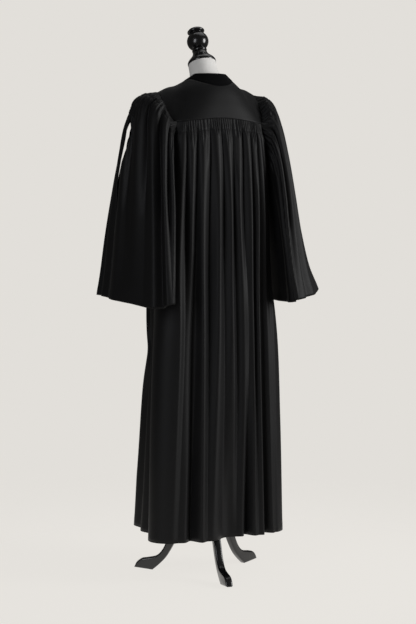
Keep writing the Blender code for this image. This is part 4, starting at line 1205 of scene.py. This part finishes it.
def stitch_tree(thread):
    """Geometry nodes that lay one stitch after another along the edges of a mesh."""
    tree = bpy.data.node_groups.new("stitches_along_paths", "GeometryNodeTree")
    sockets = tree.interface
    sockets.new_socket("Paths", in_out="INPUT", socket_type="NodeSocketGeometry")
    for name in ("Pitch", "Length", "Thread", "Unevenness"):
        sockets.new_socket(name, in_out="INPUT", socket_type="NodeSocketFloat")
    sockets.new_socket("Seed", in_out="INPUT", socket_type="NodeSocketInt")
    sockets.new_socket("Stitches", in_out="OUTPUT", socket_type="NodeSocketGeometry")
    given = node(tree, "NodeGroupInput").outputs
    curve = node(tree, "GeometryNodeMeshToCurve", {"Mesh": given["Paths"]}).outputs["Curve"]
    spacing = {"Curve": curve, "Length": given["Pitch"]}
    points = node(tree, "GeometryNodeResampleCurve", spacing, mode="LENGTH")
    half = node(tree, "ShaderNodeMath", {0: given["Length"], 1: 0.5}, operation="MULTIPLY").outputs[0]
    sides = {"X": given["Thread"], "Y": given["Thread"], "Z": half}
    size = node(tree, "ShaderNodeCombineXYZ", sides).outputs[0]
    faces = {"Segments": 6, "Rings": 6, "Radius": 1.0}
    ball = node(tree, "GeometryNodeMeshUVSphere", faces).outputs["Mesh"]
    stitch = node(tree, "GeometryNodeTransform", {"Geometry": ball, "Scale": size}).outputs["Geometry"]
    tangent = node(tree, "GeometryNodeInputTangent").outputs[0]
    level = node(tree, "FunctionNodeAlignRotationToVector", {"Vector": tangent}, axis="Z").outputs[0]
    least = node(tree, "ShaderNodeMath", {0: given["Unevenness"], 1: -1.0}, operation="MULTIPLY").outputs[0]
    uneven = node(
        tree, "FunctionNodeRandomValue", {"Min": least, "Max": given["Unevenness"], "Seed": given["Seed"]},
        data_type="FLOAT_VECTOR",
    ).outputs[0]
    tilt = node(tree, "FunctionNodeEulerToRotation", {0: uneven}).outputs[0]
    turn = node(
        tree, "FunctionNodeRotateRotation", {"Rotation": level, "Rotate By": tilt}, rotation_space="LOCAL"
    ).outputs[0]
    laid = {"Points": points.outputs["Curve"], "Instance": stitch, "Rotation": turn}
    row = node(tree, "GeometryNodeInstanceOnPoints", laid)
    real = node(tree, "GeometryNodeRealizeInstances", {"Geometry": row.outputs["Instances"]}).outputs[0]
    sewn = node(tree, "GeometryNodeSetMaterial", {"Geometry": real, "Material": thread}).outputs[0]
    node(tree, "NodeGroupOutput", {"Stitches": sewn})
    return tree


def stitched(name, paths, tree, **values):
    """A plain mesh of stitches along rows of points, made by the node tree with its inputs set."""
    guide = bpy.data.meshes.new(name + "_paths")
    points = []
    edges = []
    for path in paths:
        edges += [(len(points) + i, len(points) + i + 1) for i in range(len(path) - 1)]
        points += [tuple(point) for point in path + np.array(POLE)]
    guide.from_pydata(points, edges, [])
    holder = bpy.data.objects.new(name + "_paths", guide)
    bpy.context.scene.collection.objects.link(holder)
    sewing = holder.modifiers.new("stitches", "NODES")
    sewing.node_group = tree
    for socket in tree.interface.items_tree:
        if socket.name in values:
            sewing[socket.identifier] = values[socket.name]
    bpy.context.view_layer.update()
    mesh = bpy.data.meshes.new_from_object(holder.evaluated_get(bpy.context.evaluated_depsgraph_get()))
    holder.modifiers.remove(sewing)
    bpy.data.objects.remove(holder)
    mesh.name = name
    mesh.shade_smooth()
    return mesh


class ROBE_OT_stitches(bpy.types.Operator):
    """Sews the gathering rows, the yoke's edge and the turned-up hems"""

    bl_idname = "robe.stitches"
    bl_label = "Sew the stitches"

    def execute(self, context):
        sizes = context.scene.robe_sizes
        thread = shared_material(polyester_thread)
        tree = stitch_tree(thread)
        lift = sizes.cloth / 2.0 + THREAD_LIFT
        count = len(SLEEVE_FOLDS["at_head"])
        gather = [BODY_GATHER_ROW / PANEL_LENGTH]
        hem = [1.0 - sizes.turn_up / PANEL_LENGTH]
        downs = [YOKE_END - EDGE_ROW * share for share in (2.0, 1.0, 0.5)]
        seams = [moved_out([upper_points(neck_angles(), down) for down in downs], lift)[1]]
        hems = []
        for is_back, side in ((True, 1), (False, 1), (False, -1)):
            seams += list(body_panel(sizes, is_back, side, gather, lift))
            hems += list(body_panel(sizes, is_back, side, hem, lift))
        for side in (1, -1):
            for first, last in ((SLEEVE_TUCKS[0], SLIT_SEAM), (SLIT_SEAM, SLEEVE_TUCKS[1])):
                seams += list(sleeve_half(sizes, side, first, last, [SLEEVE_GATHER_ROW], lift))
            for first, last in ((0, SLIT_SEAM), (SLIT_SEAM, count)):
                hems += list(sleeve_half(sizes, side, first, last, [SLEEVE_END - sizes.turn_up], lift))
        common = {"Thread": THREAD_RADIUS, "Unevenness": STITCH_TILT, "Seed": 7}
        for name, paths, pitch, length in (
            ("seam_stitches", seams, sizes.stitch * 1.3, sizes.stitch),
            ("hem_stitches", hems, HEM_PITCH, sizes.stitch / 2.0),
        ):
            mesh = stitched(name, paths, tree, Pitch=pitch, Length=length, **common)
            add_piece(name, mesh, thread)
        return {"FINISHED"}


def neck_ring(row, angles):
    """A ring of the form's leaning neck."""
    angle = np.radians(angles)
    lean = np.radians(row["lean"])
    depth = row["radius"] * np.cos(angle)
    y = row["centre_y"] + depth * np.cos(lean)
    return np.stack([row["radius"] * np.sin(angle), y, row["centre_z"] + depth * np.sin(lean)], axis=-1)


def form_ring(row, angles):
    """A ring of the form below the yoke."""
    angle = np.radians(angles)
    radius = loop_radius(angle, row)
    return np.stack([radius * np.sin(angle), radius * np.cos(angle), loop_height(angle, row)], axis=-1)


def rows_between(rows, steps):
    """A table read smoothly at its rows and at steps between them."""
    count = len(next(iter(rows.values())))
    places = np.arange(count, dtype=float)
    at = np.linspace(0.0, count - 1.0, (count - 1) * steps + 1)
    columns = {name: along(places, rows[name], at) for name in rows}
    return [{name: columns[name][i] for name in columns} for i in range(len(at))]


def lofted(name, rings):
    """A closed smooth body through rings, with a flat face at each end."""
    shape = bmesh.new()
    grid = [[shape.verts.new(Vector(point) + POLE) for point in ring] for ring in rings]
    count = len(grid[0])
    for upper, lower in zip(grid[:-1], grid[1:]):
        for j in range(count):
            k = (j + 1) % count
            shape.faces.new((upper[j], upper[k], lower[k], lower[j]))
    shape.faces.new(grid[0])
    shape.faces.new(grid[-1])
    return finished_mesh(name, shape, edge_angle=EDGE_ANGLE)


class ROBE_OT_form(bpy.types.Operator):
    """Makes the white limbless torso with its leaning neck"""

    bl_idname = "robe.form"
    bl_label = "Make the dress form"

    def execute(self, context):
        angles = np.linspace(-180.0, 180.0, FORM_COLUMNS + 1)[:-1]
        rings = [neck_ring(row, angles) for row in rows_between(NECK, FORM_STEPS)]
        downs = np.linspace(BAND_END / 2.0, YOKE_END, SHOULDER_ROWS)
        rings += list(moved_out([upper_points(angles, down) for down in downs], -FORM_INSET - FORM_CLEARANCE))
        rings += [form_ring(row, angles) for row in rows_between(FORM, FORM_STEPS)]
        mesh = lofted("form_jersey", rings)
        add_piece("form_jersey", mesh, shared_material(cotton_jersey), ["form_torso"])
        return {"FINISHED"}


def arc(centre, out, radius, start, end, steps, tall=1.0):
    """Heights and radii of a turned bead's arc, by angle above its middle."""
    angles = np.radians(np.linspace(start, end, steps))
    return [(centre + radius * tall * math.sin(a), out + radius * math.cos(a)) for a in angles]


def turned_mesh(name, profile, place, steps=96):
    """A turned body: the profile spun about its axis and put in place."""
    shape = bmesh.new()
    points = [(0.0, profile[0][0])]
    points += [(radius, height) for height, radius in profile]
    points += [(0.0, profile[-1][0])]
    verts = [shape.verts.new((radius, 0.0, height)) for radius, height in points]
    edges = [shape.edges.new(pair) for pair in zip(verts[:-1], verts[1:])]
    bmesh.ops.spin(
        shape,
        geom=verts + edges,
        cent=(0, 0, 0),
        axis=(0, 0, 1),
        angle=2.0 * math.pi,
        steps=steps,
        use_merge=True,
    )
    bmesh.ops.remove_doubles(shape, verts=shape.verts, dist=WOOD_MERGE)
    return finished_mesh(name, shape, Matrix.Translation(POLE) @ place, TURNED_EDGE_ANGLE)


class ROBE_OT_finial(bpy.types.Operator):
    """Makes the lacquered neck cap with its turned finial"""

    bl_idname = "robe.finial"
    bl_label = "Make the cap and finial"

    def execute(self, context):
        lean = Matrix.Translation(NECK_TOP) @ Matrix.Rotation(NECK_LEAN, 4, "X")
        profile = list(CAP)
        profile += arc(BEAD_CENTRE, BEAD_OUT, BEAD_RADIUS, *BEAD_ARC)
        profile += arc(BALL_CENTRE, 0.0, BALL_RADIUS, *BALL_ARC, BALL_TALL)
        profile += [DOME_NECK]
        profile += arc(DOME_RIM_CENTRE, DOME_RIM_OUT, DOME_RIM_RADIUS, *DOME_RIM_ARC)
        profile += DOME
        mesh = turned_mesh("cap_and_finial", profile, lean)
        lacquer = shared_material(wood_lacquer)
        add_piece("cap_and_finial", mesh, lacquer, ["neck_cap", "finial"])
        return {"FINISHED"}


def leg_edge(points, count):
    """A smooth line of so many points through one edge of a leg's outline."""
    edge = np.array(points)
    places = np.arange(len(edge), dtype=float)
    at = np.linspace(0.0, len(edge) - 1.0, count)
    return list(zip(along(places, edge[:, 0], at), along(places, edge[:, 1], at)))


def leg_mesh(name, turn):
    """One sawn and rounded leg from its flat outline."""
    outline = leg_edge([(HUB_RADIUS - LEG_TENON, LEG_TOP)] + LEG_UPPER, UPPER_EDGE_POINTS)
    outline += leg_edge(LEG_LOWER + [(HUB_RADIUS - LEG_TENON, LEG_BOTTOM)], LOWER_EDGE_POINTS)
    curve = bpy.data.curves.new(name, "CURVE")
    curve.dimensions = "2D"
    curve.fill_mode = "BOTH"
    curve.extrude = LEG_THICKNESS / 2.0 - LEG_EDGE
    curve.bevel_depth = LEG_EDGE
    curve.bevel_resolution = 3
    curve.offset = -LEG_EDGE
    spline = curve.splines.new("POLY")
    spline.points.add(len(outline) - 1)
    for point, (distance, height) in zip(spline.points, outline):
        point.co = (distance, height, 0.0, 1.0)
    spline.use_cyclic_u = True
    guide = bpy.data.objects.new(name, curve)
    bpy.context.scene.collection.objects.link(guide)
    bpy.context.view_layer.update()
    mesh = bpy.data.meshes.new_from_object(guide.evaluated_get(bpy.context.evaluated_depsgraph_get()))
    bpy.data.objects.remove(guide)
    shape = bmesh.new()
    shape.from_mesh(mesh)
    bmesh.ops.remove_doubles(shape, verts=shape.verts, dist=WOOD_MERGE)
    bpy.data.meshes.remove(mesh)
    upright = Matrix.Rotation(math.pi / 2.0, 4, "X")
    place = Matrix.Translation(POLE) @ Matrix.Rotation(turn, 4, "Z") @ upright
    return finished_mesh(name, shape, place, EDGE_ANGLE)


class ROBE_OT_stand(bpy.types.Operator):
    """Makes the three lacquered legs and paints the pole and hub"""

    bl_idname = "robe.stand"
    bl_label = "Make the stand"

    def execute(self, context):
        lacquer = shared_material(wood_lacquer)
        for number in range(LEG_COUNT):
            turn = math.radians(FIRST_LEG_ANGLE + number * 360.0 / LEG_COUNT)
            name = f"leg_{number + 1}"
            add_piece(name + "_wood", leg_mesh(name + "_wood", turn), lacquer, [name])
        for name, material in (("hub", lacquer), ("pole", shared_material(painted_steel))):
            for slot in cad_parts[name].material_slots:
                slot.material = material
        return {"FINISHED"}


def aim(thing, target):
    """Turns a lamp or camera to look at a point."""
    thing.rotation_euler = (target - thing.location).to_track_quat("-Z", "Y").to_euler()


def add_light(name, right, towards, height, width, tall, power, colour):
    """A soft panel light, placed by how far right of and towards the camera it stands."""
    view = Vector((math.sin(CAMERA_AZIMUTH), -math.cos(CAMERA_AZIMUTH), 0.0))
    side = Vector((-view.y, view.x, 0.0))
    data = bpy.data.lights.new(name, "AREA")
    data.shape = "RECTANGLE"
    data.size = width
    data.size_y = tall
    data.energy = power
    data.color = linear(colour)
    lamp = bpy.data.objects.new(name, data)
    lamp.location = POLE + view * towards + side * right + Vector((0.0, 0.0, height))
    aim(lamp, POLE + Vector((0.0, 0.0, LIGHT_AIM)))
    bpy.context.scene.collection.objects.link(lamp)


def studio_floor(colours):
    """Matt painted floor that fades into the pale wall and keeps shadows faint by its own light."""
    material, tree, surface = new_material("studio_floor_paint")
    place = node(tree, "ShaderNodeTexCoord")
    reach = node(tree, "ShaderNodeVectorMath", {0: place.outputs["Object"]}, operation="LENGTH")
    span = {"From Min": FADE_START, "From Max": FADE_END, "To Min": 1.0, "To Max": 0.0}
    fade = node(
        tree,
        "ShaderNodeMapRange",
        {"Value": reach.outputs["Value"], **span},
        interpolation_type="SMOOTHSTEP",
    )
    lit = [FLOOR_LIT * value for value in colours.studio]
    set_inputs(surface, Base_Color=(*lit, 1.0), Roughness=0.7, Specular_IOR_Level=0.0)
    set_inputs(surface, Emission_Color=(*colours.studio, 1.0), Emission_Strength=1.0)
    tree.links.new(fade.outputs["Result"], surface.inputs["Alpha"])
    return material


class ROBE_OT_stage(bpy.types.Operator):
    """Makes the pale floor, the soft lights and the camera"""

    bl_idname = "robe.stage"
    bl_label = "Set the stage"

    def execute(self, context):
        scene = context.scene
        colours = scene.robe_colours
        shape = bmesh.new()
        bmesh.ops.create_circle(shape, cap_ends=True, segments=96, radius=FLOOR_RADIUS)
        place = Matrix.Translation(POLE - Vector((0, 0, FLOOR_DROP)))
        bmesh.ops.transform(shape, matrix=place, verts=shape.verts)
        mesh = bpy.data.meshes.new("floor")
        shape.to_mesh(mesh)
        shape.free()
        mesh.materials.append(studio_floor(colours))
        floor = bpy.data.objects.new("floor", mesh)
        scene.collection.objects.link(floor)

        world = bpy.data.worlds.new("studio")
        world.use_nodes = True
        tree = world.node_tree
        tree.nodes.clear()
        wall = node(tree, "ShaderNodeBackground", {"Color": (*colours.studio, 1.0), "Strength": 1.0})
        glow = node(tree, "ShaderNodeBackground", {"Color": (*colours.studio, 1.0), "Strength": GLOW})
        path = node(tree, "ShaderNodeLightPath")
        seen = path.outputs["Is Camera Ray"]
        mix = node(tree, "ShaderNodeMixShader", {0: seen, 1: glow.outputs[0], 2: wall.outputs[0]})
        node(tree, "ShaderNodeOutputWorld", {"Surface": mix.outputs[0]})
        scene.world = world
        scene.view_settings.view_transform = "Standard"

        for name, place in LIGHTS.items():
            add_light(name, colour=LIGHT_COLOURS[name], **place)

        data = bpy.data.cameras.new("camera")
        data.lens = LENS
        data.sensor_width = 36.0
        data.shift_x = SHIFT_X
        camera = bpy.data.objects.new("camera", data)
        view = Vector((math.sin(CAMERA_AZIMUTH), -math.cos(CAMERA_AZIMUTH), 0.0))
        camera.location = POLE + view * CAMERA_DISTANCE + Vector((0.0, 0.0, CAMERA_HEIGHT))
        aim(camera, POLE + Vector((0.0, 0.0, AIM_HEIGHT)))
        scene.collection.objects.link(camera)
        scene.camera = camera
        return {"FINISHED"}


class ROBE_PT_panel(bpy.types.Panel):
    bl_label = "Clergy robe"
    bl_idname = "ROBE_PT_panel"
    bl_space_type = "VIEW_3D"
    bl_region_type = "UI"
    bl_category = "Robe"

    def draw(self, context):
        for group in (context.scene.robe_sizes, context.scene.robe_colours):
            for name in group.__annotations__:
                self.layout.prop(group, name)
        for operator in OPERATORS:
            self.layout.operator(operator.bl_idname)


OPERATORS = (
    ROBE_OT_form,
    ROBE_OT_yoke,
    ROBE_OT_body,
    ROBE_OT_sleeves,
    ROBE_OT_placket,
    ROBE_OT_stitches,
    ROBE_OT_finial,
    ROBE_OT_stand,
    ROBE_OT_stage,
)
CLASSES = (RobeSizes, RobeColours, *OPERATORS, ROBE_PT_panel)


def register():
    for cls in CLASSES:
        bpy.utils.register_class(cls)
    bpy.types.Scene.robe_sizes = PointerProperty(type=RobeSizes)
    bpy.types.Scene.robe_colours = PointerProperty(type=RobeColours)


def unregister():
    del bpy.types.Scene.robe_colours
    del bpy.types.Scene.robe_sizes
    for cls in reversed(CLASSES):
        bpy.utils.unregister_class(cls)


def main():
    register()
    bpy.ops.robe.form()
    bpy.ops.robe.yoke()
    bpy.ops.robe.body()
    bpy.ops.robe.sleeves()
    bpy.ops.robe.placket()
    bpy.ops.robe.stitches()
    bpy.ops.robe.finial()
    bpy.ops.robe.stand()
    bpy.ops.robe.stage()


if __name__ == "__main__":
    main()
